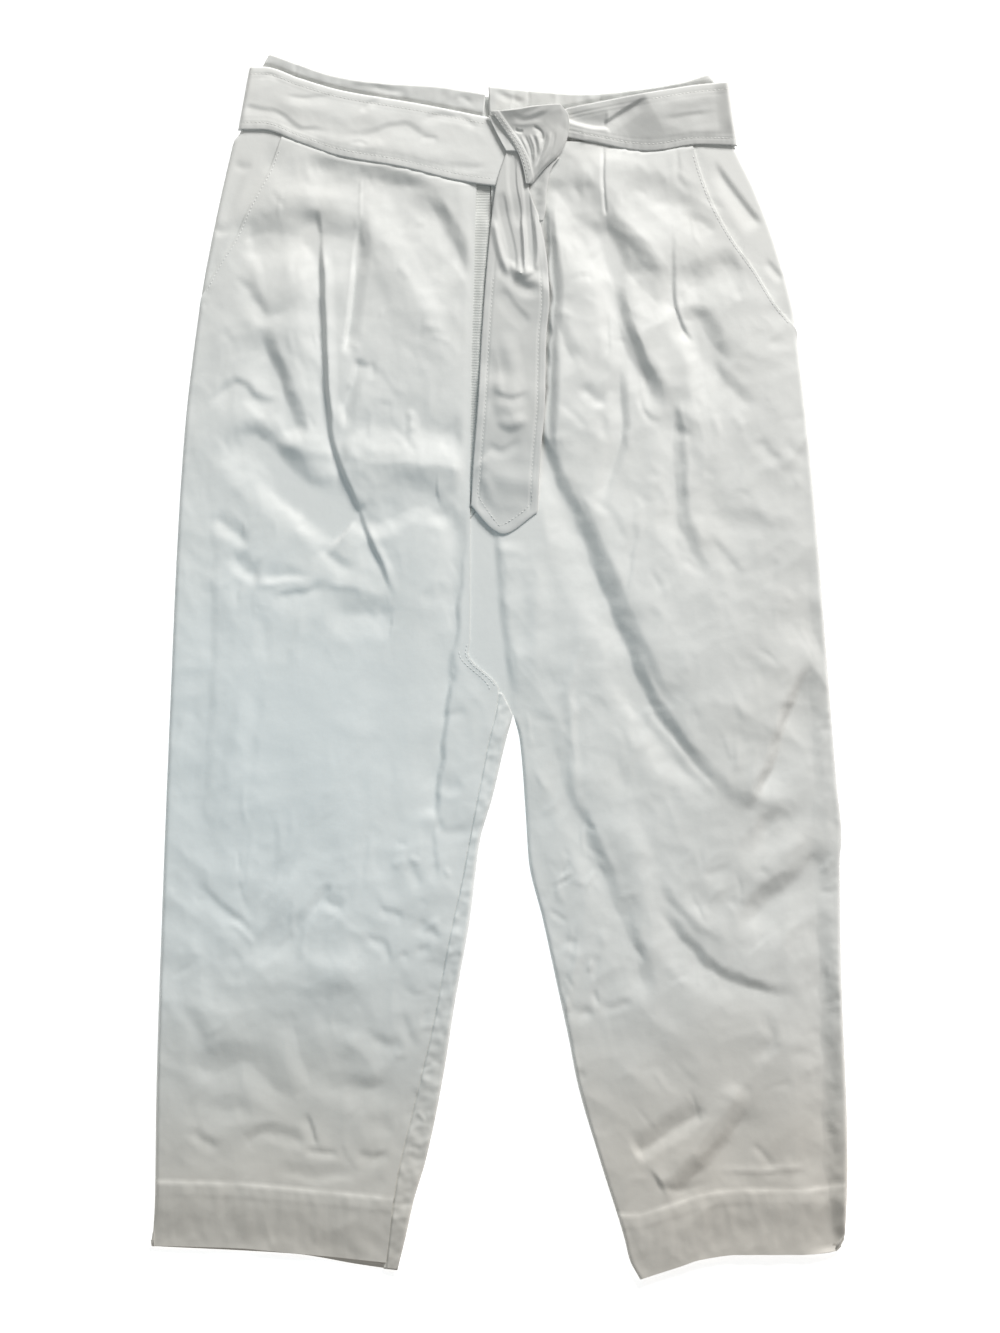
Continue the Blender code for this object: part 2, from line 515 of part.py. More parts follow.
def build_backs():
    left_lines = (BACK_WAIST_LINE, LEFT_BACK_HEM_LINE)
    right_lines = (BACK_WAIST_LINE, RIGHT_HEM_LINE)
    top = BACK_WAIST - BAND_DEPTH - BAND_SEAM
    panel("back_leg_left",
          stations(62, top, 378.5, 370, 345, CROTCH, -51, LEFT_BACK_HEM + HEM_DEPTH, LEFT_BACK_HEM),
          (LEFT_SIDE, joined(shifted(CENTRE_BACK, -SEAM / 2), LEFT_INNER, CROTCH)),
          left_lines, back_surface, 6, (folded, folded_below(CROTCH)), facing=-1)
    panel("back_leg_right",
          stations(62, top, 384.5, 376, 345, CROTCH, -51, RIGHT_BACK_HEM + HEM_DEPTH, -459, RIGHT_BACK_HEM),
          (joined(shifted(CENTRE_BACK, SEAM / 2), RIGHT_INNER, CROTCH), RIGHT_SIDE),
          right_lines, back_surface, 6, (folded_below(CROTCH), folded), facing=-1)
    panel("back_leg_left_wrap",
          stations(36, -20, -28, CROTCH, -51, *hem_stations(LEFT_BACK_HEM)),
          (shifted(LEFT_CENTRE, SEAM / 2), joined(WRAP_HEAD, LEFT_INNER, CROTCH)),
          (LEFT_WAIST_LINE, LEFT_HEM_LINE), wrap_surface, 3, (None, folded_below(CROTCH)),
          hem=LEFT_BACK_HEM)
    panel("waistband_back", stations(18, BACK_WAIST, BACK_WAIST - BAND_DEPTH),
          (LEFT_SIDE, RIGHT_SIDE), left_lines, back_surface, 16, (folded, folded), facing=-1)


def build_fly():
    y = stations(22, ZIP_TOP, ZIP_FOOT)[:, None] + np.zeros((1, 3))
    left = LEFT_CENTRE(y[:, 0]) - UNDERLAP
    right = RIGHT_CENTRE(y[:, 0]) - LAYER_GAP
    x = spread_columns(left, right, 2, None, None)
    sheet("fly_strip", x, y, np.full_like(x, UNDER_FRONT_TOP), WALL, finish=ZIP_TAPE)


def belt_surface(x, y):
    """Upper face of the belt's front runs, smooth where they go under the knot."""
    beside_knot = np.maximum(smooth_step(-9, -24, x), smooth_step(52, 62, x))
    return np.maximum(BELT_TOP + fold_relief(BELT_FOLDS, x, y) * beside_knot, LYING_STRAP_TOP)


def belt_run(name, top, low, left, right, count, folds, facing=1):
    """A run of the belt between its top and low edges, folded at the garment's sides."""
    shares = np.linspace(0, 1, 7 if facing > 0 else 4)
    ends = []
    for edge in (left, right):
        x = edge(np.zeros_like(shares))
        for _ in range(8):
            x = edge(top(x) + (low(x) - top(x)) * shares)
        ends.append(x)
    fold_left, fold_right = (fold and fold(shares) for fold in folds)
    x = spread_columns(*ends, count, fold_left, fold_right)
    y = top(x) + (low(x) - top(x)) * shares[:, None]
    z = belt_surface(x, y) if facing > 0 else np.zeros_like(x)
    z = fold_down(z, np.full_like(x, BELT_TOP / 2), fold_left, fold_right, facing)
    sheet(name, x, y, z, STRAP_WALL, facing)


def build_belt():
    belt_run("belt_front_left", BELT_LEFT_TOP, BELT_LEFT_LOW, BELT_LEFT_FOLD,
             lambda y: np.full_like(y, BELT_LEFT_REACH), 20, (folded, None))
    belt_run("belt_front_right", BELT_RIGHT_TOP, BELT_RIGHT_LOW,
             lambda y: np.full_like(y, BELT_RIGHT_REACH), BELT_RIGHT_FOLD, 15, (None, folded))
    belt_run("belt_back", BELT_BACK_TOP, lambda x: BELT_BACK_TOP(x) - BELT_DEPTH,
             BELT_LEFT_FOLD, BELT_RIGHT_FOLD, 14, (folded, folded), facing=-1)


def build_long_end():
    down = np.linspace(0, 1, END_ROWS)[:, None]
    across = np.linspace(0, 1, END_COLUMNS)
    left_y = END_LEFT_HEAD + (END_LEFT_FOOT - END_LEFT_HEAD) * down
    right_y = END_RIGHT_HEAD + (END_RIGHT_FOOT - END_RIGHT_HEAD) * down
    x = END_LEFT(left_y) + (END_RIGHT(right_y) - END_LEFT(left_y)) * across
    y = left_y + (right_y - left_y) * across
    y = y + (END_POINT(x) - y) * smooth_step(0.9, 1.0, down)
    z = LYING_STRAP_TOP + (OVER_BELT_TOP - LYING_STRAP_TOP) * smooth_step(*END_CLIMB, y)
    waves = 0.5 - 0.5 * np.cos(2 * np.pi * END_GATHERS * across)
    gathered = smooth_step(GATHER_FOOT, GATHER_HEAD, y) * smooth_step(0, 0.04, down)
    sheet("belt_end", x, y, z + GATHER_RISE * waves * gathered, STRAP_WALL)


def build_short_end():
    y = stations(8, SHORT_HEAD, SHORT_FOOT)
    left = END_RIGHT(y) + SHORT_GAP + SHORT_SPREAD * np.maximum(y - KNOT_FOOT, 0)
    x = spread_columns(left, SHORT_RIGHT(y), 3, None, None)
    y = y[:, None] + np.zeros_like(x)
    sheet("belt_end_short", x, y, np.full_like(x, LYING_STRAP_TOP), STRAP_WALL, finish=SHADED_SATEEN)


def build_knot():
    """A pillow of folded cloth with a flat underside, on the plan of the knot."""
    bm = bmesh.new()
    bmesh.ops.create_cube(bm, size=1.0)
    bmesh.ops.subdivide_edges(bm, edges=bm.edges[:], cuts=KNOT_CUTS, use_grid_fill=True)
    for vertex in bm.verts:
        across, along, up = (value + 0.5 for value in vertex.co)
        head_x = KNOT_LEFT(KNOT_HEAD) + (KNOT_RIGHT(KNOT_HEAD) - KNOT_LEFT(KNOT_HEAD)) * across
        y = KNOT_FOOT + (KNOT_HEAD_LINE(head_x) - KNOT_FOOT) * along
        left, right = KNOT_LEFT(y), KNOT_RIGHT(y)
        drawn_in = KNOT_ROUNDING * (2 * up - 1) ** 2 * (1 - 2 * across)
        x = left + (right - left) * (across + drawn_in)
        side_arch = (4 * across * (1 - across)) ** KNOT_SIDE_BLUNTNESS
        end_arch = (4 * along * (1 - along)) ** KNOT_END_BLUNTNESS
        pleat = np.exp(-((across - KNOT_PLEAT) / KNOT_PLEAT_WIDTH) ** 2)
        fullness = side_arch * end_arch * (1 - KNOT_PLEAT_SHARE * (1 - pleat))
        top = KNOT_RIM + (KNOT_CROWN - KNOT_RIM) * fullness
        vertex.co = (x * MM, y * MM, (KNOT_UNDERSIDE + (top - KNOT_UNDERSIDE) * up) * MM)
    finish_piece("belt_knot", bm, WHITE_SATEEN)


def main():
    for piece in list(bpy.data.objects):
        bpy.data.objects.remove(piece, do_unlink=True)
    bpy.context.scene.collection.children.link(bpy.data.collections.new(COLLECTION))
    build_backs()
    build_fronts()
    build_fly()
    build_belt()
    build_long_end()
    build_short_end()
    build_knot()


main()
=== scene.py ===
import math
from collections import namedtuple

import bmesh
import bpy
import numpy as np
from mathutils import Matrix, Vector


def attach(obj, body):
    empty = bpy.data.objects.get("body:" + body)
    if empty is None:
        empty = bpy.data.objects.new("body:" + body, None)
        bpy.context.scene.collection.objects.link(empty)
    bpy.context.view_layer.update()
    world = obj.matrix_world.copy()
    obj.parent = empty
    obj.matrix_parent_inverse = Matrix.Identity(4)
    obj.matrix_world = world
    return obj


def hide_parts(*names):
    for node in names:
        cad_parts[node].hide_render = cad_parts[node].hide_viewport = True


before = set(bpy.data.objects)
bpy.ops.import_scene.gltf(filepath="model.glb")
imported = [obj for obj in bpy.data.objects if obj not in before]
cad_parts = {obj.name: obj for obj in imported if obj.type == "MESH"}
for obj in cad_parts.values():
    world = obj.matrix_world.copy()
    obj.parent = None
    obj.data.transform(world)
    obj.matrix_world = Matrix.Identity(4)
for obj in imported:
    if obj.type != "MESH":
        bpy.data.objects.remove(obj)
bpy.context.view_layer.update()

# White cotton trousers with a tie belt, laid flat on their back. Tables are in millimetres: X across,
# +Y to the waist, +Z up. Left and right are as seen from above.
MM = 0.001

# How the layers of cloth lie on each other
WALL = 1.0
STRAP_WALL = 1.3
SEAM = 0.06             # gap between two pieces at a fold or a seam
OPENING_SEAM = 1.4      # the same where the pocket opens
LAYER_GAP = 0.4
FRONT_TOP = 6.2         # upper face of the fronts where no fold raises them
LOWEST_TOP = 2.4        # no trough of the fronts goes below this
TUCKED_TOP = 4.9        # upper face of what lies just under a front's edge
UNDER_FRONT_TOP = 4.6   # upper face of the zip's tape where the fronts lie on it
LYING_STRAP_TOP = 8.0   # upper face of a strap pressed onto the fronts
BELT_TOP = 8.6
BELT_EDGE_FALL = 0.5    # how far the belt's lower edge lies down
BELT_LEAN = 0.06        # how steeply the belt's right run leans down to its lower edge
OVER_BELT_TOP = 10.1    # upper face of the long end where it crosses the belt
BACK_LIFT = 1.8         # height of the backs over the belt's back run
BACK_RAMP = 14.0        # stretch over which they rise to it
FOLD_IN = 3.4           # how far a folded edge reaches in from the outline
FOLD_POINTS = 7
RIM_ROWS = 2            # how many rows and columns a sheet's rim adds on each side
RIM_TURN = 2            # how many rows in from the edge it reaches
ROUNDS = 8              # rounds that find where a row meets an outline
SHARP_ANGLE = 50        # degrees between faces past which an edge isn't smoothed

# Sizes of the pieces
BAND_DEPTH = 36.0
BAND_SEAM = 0.6
BELT_DEPTH = 48.5
HEM_DEPTH, HEM_LIFT = 50.0, 0.5
HEM_TURN, TURN_LIFT = 9.0, 0.35
HEM_FALL = 3.8          # how far a front's hem comes down to its edge
UNDERLAP = 4.0          # how far a pocket facing reaches under the front
WRAP_TUCK = 1.8         # how far the turned-over strip reaches under the front's edge
ZIP_TOP, ZIP_FOOT = 379.0, 110.0
ZIP_STRIP_TOP, ZIP_EDGE_TOP, ZIP_OVERLAP = 6.3, 5.4, 0.6
FLY_DIP, FLY_DIP_REACH, FLY_DIP_HEAD, FLY_DIP_FOOT = 0.4, 7.0, (356.0, 336.0), (124.0, 146.0)
CROTCH = -37.0
LEFT_POCKET_FOOT, RIGHT_POCKET_FOOT = 284.0, 260.0
LEFT_FACING_FOOT, RIGHT_FACING_FOOT = 236.0, 246.0
WRAP_TOP = -20.0        # where the turned-over strip begins

# How far apart the rows of each grid are, and how many columns or rows it has
ROW, COLUMNS = 2.2, 200
FACING_ROW, FACING_COLUMNS = 2.0, 26
BACK_ROW, BACK_COLUMNS = 6.0, 36
BACK_BAND_ROW, BACK_BAND_COLUMNS = 3.0, 90
NARROW_ROW = 1.5                # of the waistband, the turned-over strip, the fly and the short end
BAND_COLUMNS, WRAP_COLUMNS, NARROW_COLUMNS = 120, 22, 14
BELT_ROWS, BELT_LEFT_COLUMNS, BELT_RIGHT_COLUMNS = 45, 160, 120
BACK_BELT_ROWS, BACK_BELT_COLUMNS = 13, 90
END_ROWS, END_COLUMNS = 150, 62
KNOT_ROWS, KNOT_COLUMNS = 74, 78
KNOT_SIDE_ROW, KNOT_SIDE_COLUMNS = 1.2, 18

# Stitching
STITCH_LENGTH, STITCH_WIDTH, STITCH_PITCH = 2.3, 0.5, 3.0
STITCH_FLATNESS = 0.4       # a stitch's half height as a share of its width
STITCH_LIFT = 0.12
STITCH_ROUTE_STEPS = 12     # points of a row between two points of its path
SHORTEST_WAY = 0.1          # a path that goes less far than this from stitch to stitch has ended
STITCH_POINTS, FLY_STITCH_POINTS, END_STITCH_POINTS = 24, 16, 14        # points of a row's path
END_STITCH_TIP = [(-3.5, 112.5), (3, 110.0)]        # where the row round the long end turns its point
POCKET_STITCH = 1.8         # how far beside their seams and edges the rows run
FLY_STITCH, FLY_FAR_STITCH = 1.6, 6.5
KNOT_STITCH, KNOT_FAR_STITCH = 1.6, 4.6

# The camera, in metres
VIEW_DISTANCE = 3.4
VIEW_HEIGHT = 1.0264        # height of the frame on the garment
VIEW_MIDDLE = 0.0004

Edge = namedtuple("Edge", "y x")        # an outline's x at a height y
Line = namedtuple("Line", "x y")        # a line's y at a place x
Rise = namedtuple("Rise", "x by")       # how far a row stands above its inner end
# A crease along a route: how high it stands, the widths of its slopes to the left and to the right
# of the way it runs, how sharp its crest is (0 to 1), and the shares over which its ends die away
Crease = namedtuple("Crease", "route rise left right crisp head foot", defaults=(0.0, 0.3, 0.3))
Swell = namedtuple("Swell", "x y wide long turn rise")      # a broad soft hump or hollow
# A group of small creases between two corners: the way they lean, how unevenly, and their ranges
Wrinkles = namedtuple("Wrinkles", "count low high lean spread length width rise")
Ripple = namedtuple("Ripple", "height size seed")       # crumple of a height, each hill a size across


def table(kind, rows):
    """A table's rows with the columns of their kind."""
    return [kind(*row) for row in rows]


def curve(kind, rows):
    """A smooth curve through a table's rows, from their first column to their second one."""
    rows = sorted(table(kind, rows))
    keys = np.array([row[0] for row in rows], float)
    values = np.array([row[1] for row in rows], float)
    steps = np.diff(keys)
    slopes = np.diff(values) / steps
    tangents = np.concatenate(([slopes[0]], np.zeros(len(rows) - 2), [slopes[-1]]))
    for i, (before, after) in enumerate(zip(slopes[:-1], slopes[1:]), start=1):
        if before * after > 0:
            tangents[i] = 2 * before * after / (before + after)

    def read(at):
        at = np.clip(at, keys[0], keys[-1])
        i = np.clip(np.searchsorted(keys, at) - 1, 0, len(steps) - 1)
        t = (at - keys[i]) / steps[i]
        bend = t * (1 - t) * steps[i] * ((1 - t) * tangents[i] - t * tangents[i + 1])
        return values[i] + (values[i + 1] - values[i]) * t * t * (3 - 2 * t) + bend

    return read


def smooth_step(low, high, at):
    """0 at low, 1 at high, smooth between them and level past them."""
    t = np.clip((at - low) / (high - low), 0, 1)
    return t * t * (3 - 2 * t)


def between(low, high, share):
    """What lies a share of the way from one value to another."""
    return low + (high - low) * share


# Outlines of the laid-out garment
LEFT_SIDE = curve(Edge, [
    (472, -178), (463, -183), (440, -194.4), (412.5, -199.4), (405, -205), (393, -208), (344, -219),
    (298, -228), (252, -235), (182, -243), (90, -249), (-25, -254), (-149, -259), (-333, -265),
    (-410, -266), (-446, -268)])
RIGHT_SIDE = curve(Edge, [
    (457, 162), (449, 166), (430, 176.5), (402.5, 180.2), (394, 184), (367, 197), (321, 214), (275, 226),
    (206, 235), (113, 244), (21, 251), (-87, 259.5), (-133, 263.5), (-149, 262), (-226, 263), (-380, 268),
    (-436, 266), (-450, 259)])
CENTRE_BACK = curve(Edge, [(450, -4), (200, 4), (CROTCH, 10)])
LEFT_INNER = curve(Edge, [
    (CROTCH, 9.8), (-56, 5), (-102, -6), (-133, -15), (-195, -23), (-256, -34), (-318, -44), (-380, -57),
    (-410, -66), (-441, -73), (-465, -79)])
RIGHT_INNER = curve(Edge, [
    (CROTCH, 10.4), (-56, 15), (-118, 20), (-149, 22), (-195, 33), (-241, 43), (-287, 53), (-318, 59),
    (-380, 77), (-441, 96), (-457, 100), (-472, 108)])

# Waist and hem lines, each above its own inner end
LEFT_WAIST, RIGHT_WAIST, BACK_WAIST = 441.0, 447.0, 437.0
LEFT_WAIST_LINE = curve(Rise, [
    (-205, 34), (-190, 33.5), (-178, 31), (-158, 24), (-127, 14), (-96, 9), (-50, 6), (-11, 0)])
RIGHT_WAIST_LINE = curve(Rise, [
    (-9, 0), (31, -4), (62, -6), (108, -2), (139, 3), (163, 10), (175, 12), (185, 12.5)])
BACK_WAIST_LINE = curve(Rise, [
    (-205, 35), (-178, 29.5), (-127, 17), (-80, 9), (-20, 3), (60, 2), (120, 7), (185, 18)])
LEFT_HEM, RIGHT_HEM, LEFT_BACK_HEM, RIGHT_BACK_HEM = -460.0, -472.0, -465.0, -471.0
LEFT_HEM_LINE = curve(Rise, [(-268, 14), (-204, 12), (-158, 8), (-112, 3.5), (-79, 0)])
LEFT_BACK_HEM_LINE = curve(Rise, [(-268, 18.5), (-158, 12.5), (-112, 5), (-79, 0)])
RIGHT_HEM_LINE = curve(Rise, [(108, 0), (139, 10), (154, 15), (185, 19), (231, 19), (266, 23)])

# Seams and openings of the fronts
LEFT_CENTRE = curve(Edge, [
    (441, -11), (370, -18), (298, -20), (236, -22), (125, -23), (21, -23.5), (11, -25), (-18, -1.5),
    (-62, -10), (-123, -22), (-161, -29), (-212, -40), (-276, -52), (-340, -67), (-397, -80),
    (-460, -88)])
RIGHT_CENTRE = curve(Edge, [
    (447, -9), (340, -6.5), (282, -12), (205, -14), (128, -15), (105, -27), (8, -27), (-22, -4),
    (CROTCH, 10.4)])
WRAP_HEAD = curve(Edge, [(-18, 0.4), (CROTCH, 9.8)])
LEFT_POCKET = curve(Edge, [
    (436, -158), (400, -171), (384, -177), (356, -192), (330, -204), (309, -217),
    (LEFT_POCKET_FOOT, -230.6)])
RIGHT_POCKET = curve(Edge, [
    (425, 142), (399, 149), (376, 156), (353, 165.5), (329, 179), (305, 196), (279, 212),
    (RIGHT_POCKET_FOOT, 228)])
VALLEY = curve(Edge, [(126, -7), (105, -6), (51, -2.3), (13, 2.3), (-33, 8)])
VALLEY_SLOPE = 6.0          # stretch across which the right front rises out of the valley
TUCK_HEAD, TUCK_FOOT = (128.0, 112.0), (CROTCH - 10, CROTCH + 4)

# The belt's runs and the folds at the sides
BELT_LEFT_TOP = curve(Line, [
    (-198, 462), (-182, 462), (-154, 453), (-123, 444), (-62, 433.5), (-11, 423.5), (14, 419)])
BELT_LEFT_LOW = curve(Line, [
    (-202, 413.5), (-183, 413.5), (-154, 403.5), (-123, 393), (-77, 385), (-31, 374), (-3, 370),
    (14, 369)])
BELT_RIGHT_TOP = curve(Line, [(30, 424), (46, 428.5), (77, 435), (123, 443), (154, 448), (178, 450)])
BELT_RIGHT_LOW = curve(Line, [(30, 408), (47, 408), (69, 404), (115, 397), (154, 402), (183, 401)])
BELT_BACK_TOP = curve(Line, [
    (-193, 462), (-154, 452), (-96, 442), (0, 435), (62, 434), (139, 442), (177, 450)])
BELT_LEFT_FOLD = curve(Edge, [(462, -193), (413, -202)])
BELT_RIGHT_FOLD = curve(Edge, [(450, 176.5), (401, 183)])
BELT_LEFT_REACH, BELT_RIGHT_REACH = 10.0, 33.0
EDGE_STITCH = 5.5           # how far in from the belt's edges its stitching runs

# The belt's knot and its two ends
END_LEFT = curve(Edge, [
    (412, 9), (400, 6), (371, -3), (329, -8.5), (259, -14), (205, -17), (167, -20), (125, -23)])
END_RIGHT = curve(Edge, [
    (390, 30), (382, 26), (371.5, 22), (343, 31), (306, 37), (283, 38), (252, 35.5), (205, 34.7),
    (167, 31.6), (119, 28.5)])
END_POINT = curve(Line, [(-23, 125), (-5, 105.5), (2, 102.4), (28.5, 119)])
END_LEFT_HEAD, END_LEFT_FOOT = 412.0, 125.0
END_RIGHT_HEAD, END_RIGHT_FOOT = 390.0, 119.0
END_CLIMB = (345.0, 366.0)
END_STITCH = 6.0
SHORT_HEAD, SHORT_FOOT = 392.0, 343.0
SHORT_GAP = -1.5            # how far the short end reaches in under the long one
SHORT_RIGHT = curve(Edge, [(SHORT_HEAD, 46), (384, 40), (371, 36.4), (352, 34.8), (SHORT_FOOT, 33.2)])
KNOT_HEAD_LINE = curve(Line, [(-9, 427.4), (4, 427.4), (31, 431), (45, 432), (54, 427)])
KNOT_FOOT = 371.5
KNOT_EDGE = curve(Edge, [
    (427.4, -7.7), (419.7, -2.3), (411, 3.9), (401, 10.8), (389, 16.2), (378, 19), (KNOT_FOOT, 20)])
KNOT_RIGHT = curve(Edge, [
    (432, 46), (424, 52.6), (417, 53.4), (405.8, 51.6), (394, 45.5), (384, 35), (KNOT_FOOT, 24.5)])
KNOT_SIDE_LEFT = curve(Edge, [(424, -9.2), (410, -2.5), (396.5, 4.8)])

LEFT_PLEATS = table(Crease, [
    ([(-142, 354), (-139.5, 320), (-138.4, 290), (-137.2, 262), (-136, 236), (-134.6, 206), (-132.5, 184),
      (-129, 168), (-124, 152), (-117, 136), (-111, 120), (-104, 104), (-96, 86), (-88, 66), (-79, 44)],
     -4.2, 3.6, 19, 0.6, 0.05, 0.3),
    ([(-136, 322), (-134.6, 290), (-132.6, 250), (-131, 210), (-128, 184)], 1.6, 6, 2.6, 0.5, 0.1, 0.1),
    ([(-107.5, 376), (-108, 344)], 0.4, 2, 2, 0.5, 0.1, 0.1),
    ([(-108, 346), (-110.4, 312), (-113, 290), (-116, 264), (-119.5, 240)],
     -3.0, 11, 3.0, 0.4, 0.3, 0.15),
])
LEFT_CREASES = table(Crease, [
    # below the belt, and the long arc from the hip to the fly
    ([(-156, 388), (-120, 380), (-90, 373), (-62, 367), (-36, 361)], -3.4, 15, 26, 0.2, 0.2, 0.3),
    ([(-206, 325), (-190, 332), (-174, 333), (-158, 334), (-140, 332), (-122, 331), (-106, 325),
      (-92, 316)], -3.2, 22, 34, 0.3, 0.15, 0.2),
    ([(-196, 360), (-170, 364), (-140, 362), (-112, 354)], 1.6, 18, 20, 0.1),
    ([(-110, 342), (-90, 327), (-75, 304), (-60, 276), (-46, 246), (-34, 214)],
     2.0, 14, 26, 0.2, 0.1, 0.3),
    ([(-58, 366), (-49, 346), (-38, 326), (-22, 298)], -4.8, 12, 26, 0.3, 0.3, 0.3),
    ([(-110, 238), (-112, 222), (-119, 204), (-120, 184)], -2.0, 9, 4, 0.4, 0.1, 0.2),
    ([(-112, 232), (-103, 231), (-98, 230), (-96, 221)], -0.9, 4, 5, 0.3),
    # drag lines from the hip
    ([(-150, 330), (-152, 300), (-160, 270), (-172, 240)], 2.0, 16, 26, 0.2, 0.2, 0.3),
    ([(-188, 262), (-177, 238), (-167, 212), (-159, 190), (-152, 172)], -4.4, 11, 22, 0.3, 0.25, 0.15),
    ([(-200, 190), (-180, 162), (-158, 142), (-136, 126), (-114, 105)], -6.4, 24, 28, 0.2, 0.2, 0.05),
    ([(-186, 196), (-170, 176), (-150, 168), (-128, 164)], 1.2, 16, 10, 0.4, 0.2, 0.1),
    ([(-104, 110), (-90, 80), (-80, 56)], 1.2, 5, 4, 0.4),
    ([(-190, 182), (-168, 156), (-146, 134)], -2.0, 4, 12, 0.3),
    ([(-172, 147), (-152, 124), (-132, 106)], -2.0, 5, 12, 0.3),
    ([(-226, 201), (-209, 216), (-199, 216), (-188, 206), (-168, 202)], -2.2, 7, 16, 0.3),
    ([(-199, 304), (-189, 282), (-176, 272), (-156, 276)], -1.5, 9, 12, 0.3),
    # the swell across the thigh, its trough above and its shade below
    ([(-112, 194), (-90, 183), (-78, 181), (-68, 189), (-58, 180), (-44, 179), (-24, 177)],
     -2.0, 24, 15, 0.3, 0.15, 0.1),
    ([(-124, 163), (-96, 158), (-62, 157), (-24, 151)], 2.9, 24, 25, 0.6, 0.1, 0.05),
    ([(-114, 117), (-99, 111), (-86, 113), (-76, 121), (-60, 124), (-46, 117), (-34, 126)],
     -2.8, 30, 10, 0.3, 0.1, 0.15),
    ([(-68, 200), (-67, 178)], 1.4, 5, 5, 0.3),
    # the hooked crease above the knee and its company
    ([(-186, 73), (-166, 70), (-150, 69), (-143, 71)], -1.4, 12, 6, 0.3),
    ([(-192, 62), (-172, 65), (-152, 66), (-142, 70)], 0.7, 5, 5, 0.3),
    ([(-178, 54), (-160, 54), (-148, 56), (-142, 62), (-141, 71)], -1.8, 6, 14, 0.3),
    ([(-138, 42), (-118, 40), (-98, 40), (-84, 43), (-76, 40)], -2.4, 20, 17, 0.3),
    ([(-138, 64), (-118, 62), (-96, 58)], 1.0, 10, 6, 0.3),
    ([(-220, 122), (-210, 108), (-199, 100), (-190, 103)], -2.0, 12, 8, 0.3),
    ([(-207, 90), (-196, 75), (-182, 71)], -2.0, 13, 8, 0.3),
    ([(-144, 92), (-128, 82), (-110, 72)], -1.5, 8, 8, 0.3),
    # along the inside and the outside of the thigh
    ([(-26, 122), (-29, 90), (-33, 50), (-37, 10), (-42, -30), (-47, -75), (-51, -120)],
     -2.8, 5, 24, 0.5, 0.08, 0.05),
    ([(-54, -112), (-46, -124), (-36, -127), (-20, -122)], -0.9, 6, 7, 0.3),
    ([(-48, -40), (-36, -37), (-24, -34)], -0.5, 6, 7),
    ([(-46, -86), (-38, -92), (-28, -88)], -0.5, 7, 7),
    ([(-223, 130), (-225, 0), (-229, -130)], -0.7, 7, 18, 0.3, 0.1, 0.2),
    ([(-98, -12), (-115, -55), (-136, -96), (-166, -140)], 1.8, 14, 40, 0.2),
    ([(-196, -15), (-203, -55), (-212, -100)], 0.7, 8, 9),
    ([(-184, -10), (-190, -55), (-196, -90)], -0.5, 7, 9),
    ([(-150, 44), (-156, 22), (-162, 0)], 0.5, 6, 7),
    ([(-186, 44), (-180, 20), (-182, 2)], -0.5, 7, 8),
    # knee
    ([(-128, -163), (-150, -195), (-174, -225)], -1.3, 8, 6, 0.3),
    ([(-150, -148), (-172, -184), (-192, -216)], 1.3, 8, 8, 0.3),
    ([(-164, -142), (-188, -180), (-204, -206)], -1.0, 6, 8),
    ([(-240, -158), (-222, -180), (-206, -192), (-188, -214)], -1.1, 7, 10, 0.3),
    ([(-212, -196), (-198, -204), (-188, -216)], 0.8, 4, 5, 0.3),
    ([(-140, -174), (-130, -182), (-117, -184)], -0.9, 4, 7, 0.3),
    ([(-130, -168), (-138, -178), (-145, -190)], -0.8, 4, 7, 0.3),
    ([(-94, -186), (-84, -189), (-73, -190)], -0.9, 4, 7, 0.3),
    ([(-67, -194), (-56, -201), (-43, -211)], -1.0, 5, 8, 0.3),
    ([(-55, -118), (-52, -140), (-49, -166)], -1.0, 4, 8, 0.3),
    ([(-74, -150), (-66, -160), (-62, -172)], -0.7, 6, 6, 0.3),
    ([(-108, -208), (-90, -212), (-83, -230)], -1.1, 5, 6, 0.4),
    # calf
    ([(-274, -292), (-230, -276), (-170, -250), (-98, -222), (-36, -204)], 4.5, 120, 150, 0.2, 0.0, 0.0),
    ([(-234, -284), (-200, -268), (-170, -254), (-140, -243), (-98, -225)], 2.3, 34, 24, 0.3, 0.1, 0.2),
    ([(-244, -300), (-216, -312), (-196, -304), (-176, -322), (-150, -343)], -1.8, 20, 14, 0.3, 0.15),
    ([(-164, -262), (-158, -284), (-150, -308), (-142, -332)], -1.4, 20, 12, 0.4),
    ([(-122, -282), (-104, -300), (-95, -324)], 1.4, 10, 24, 0.4),
    ([(-142, -331), (-120, -322), (-98, -326), (-78, -315)], -1.4, 14, 16, 0.3),
    ([(-202, -372), (-182, -359), (-160, -362), (-142, -368)], -1.4, 10, 8, 0.4),
    ([(-222, -330), (-208, -342), (-190, -338)], -1, 16, 10, 0.3),
    ([(-151, -343), (-145, -356), (-138, -371)], -1.4, 3, 8, 0.6),
    ([(-152, -371), (-138, -373), (-124, -375)], -1, 5, 5, 0.3),
    ([(-112, -374), (-98, -378), (-84, -373)], -1.1, 5, 6, 0.4),
    ([(-176, -387), (-142, -393), (-104, -390)], -0.8, 12, 5),
    ([(-240, -352), (-228, -366), (-214, -372)], -1, 9, 7, 0.3),
    ([(-78, -262), (-70, -280), (-62, -296)], -0.8, 6, 8, 0.3),
    ([(-100, -285), (-86, -292), (-72, -288)], -0.8, 8, 6, 0.3),
])
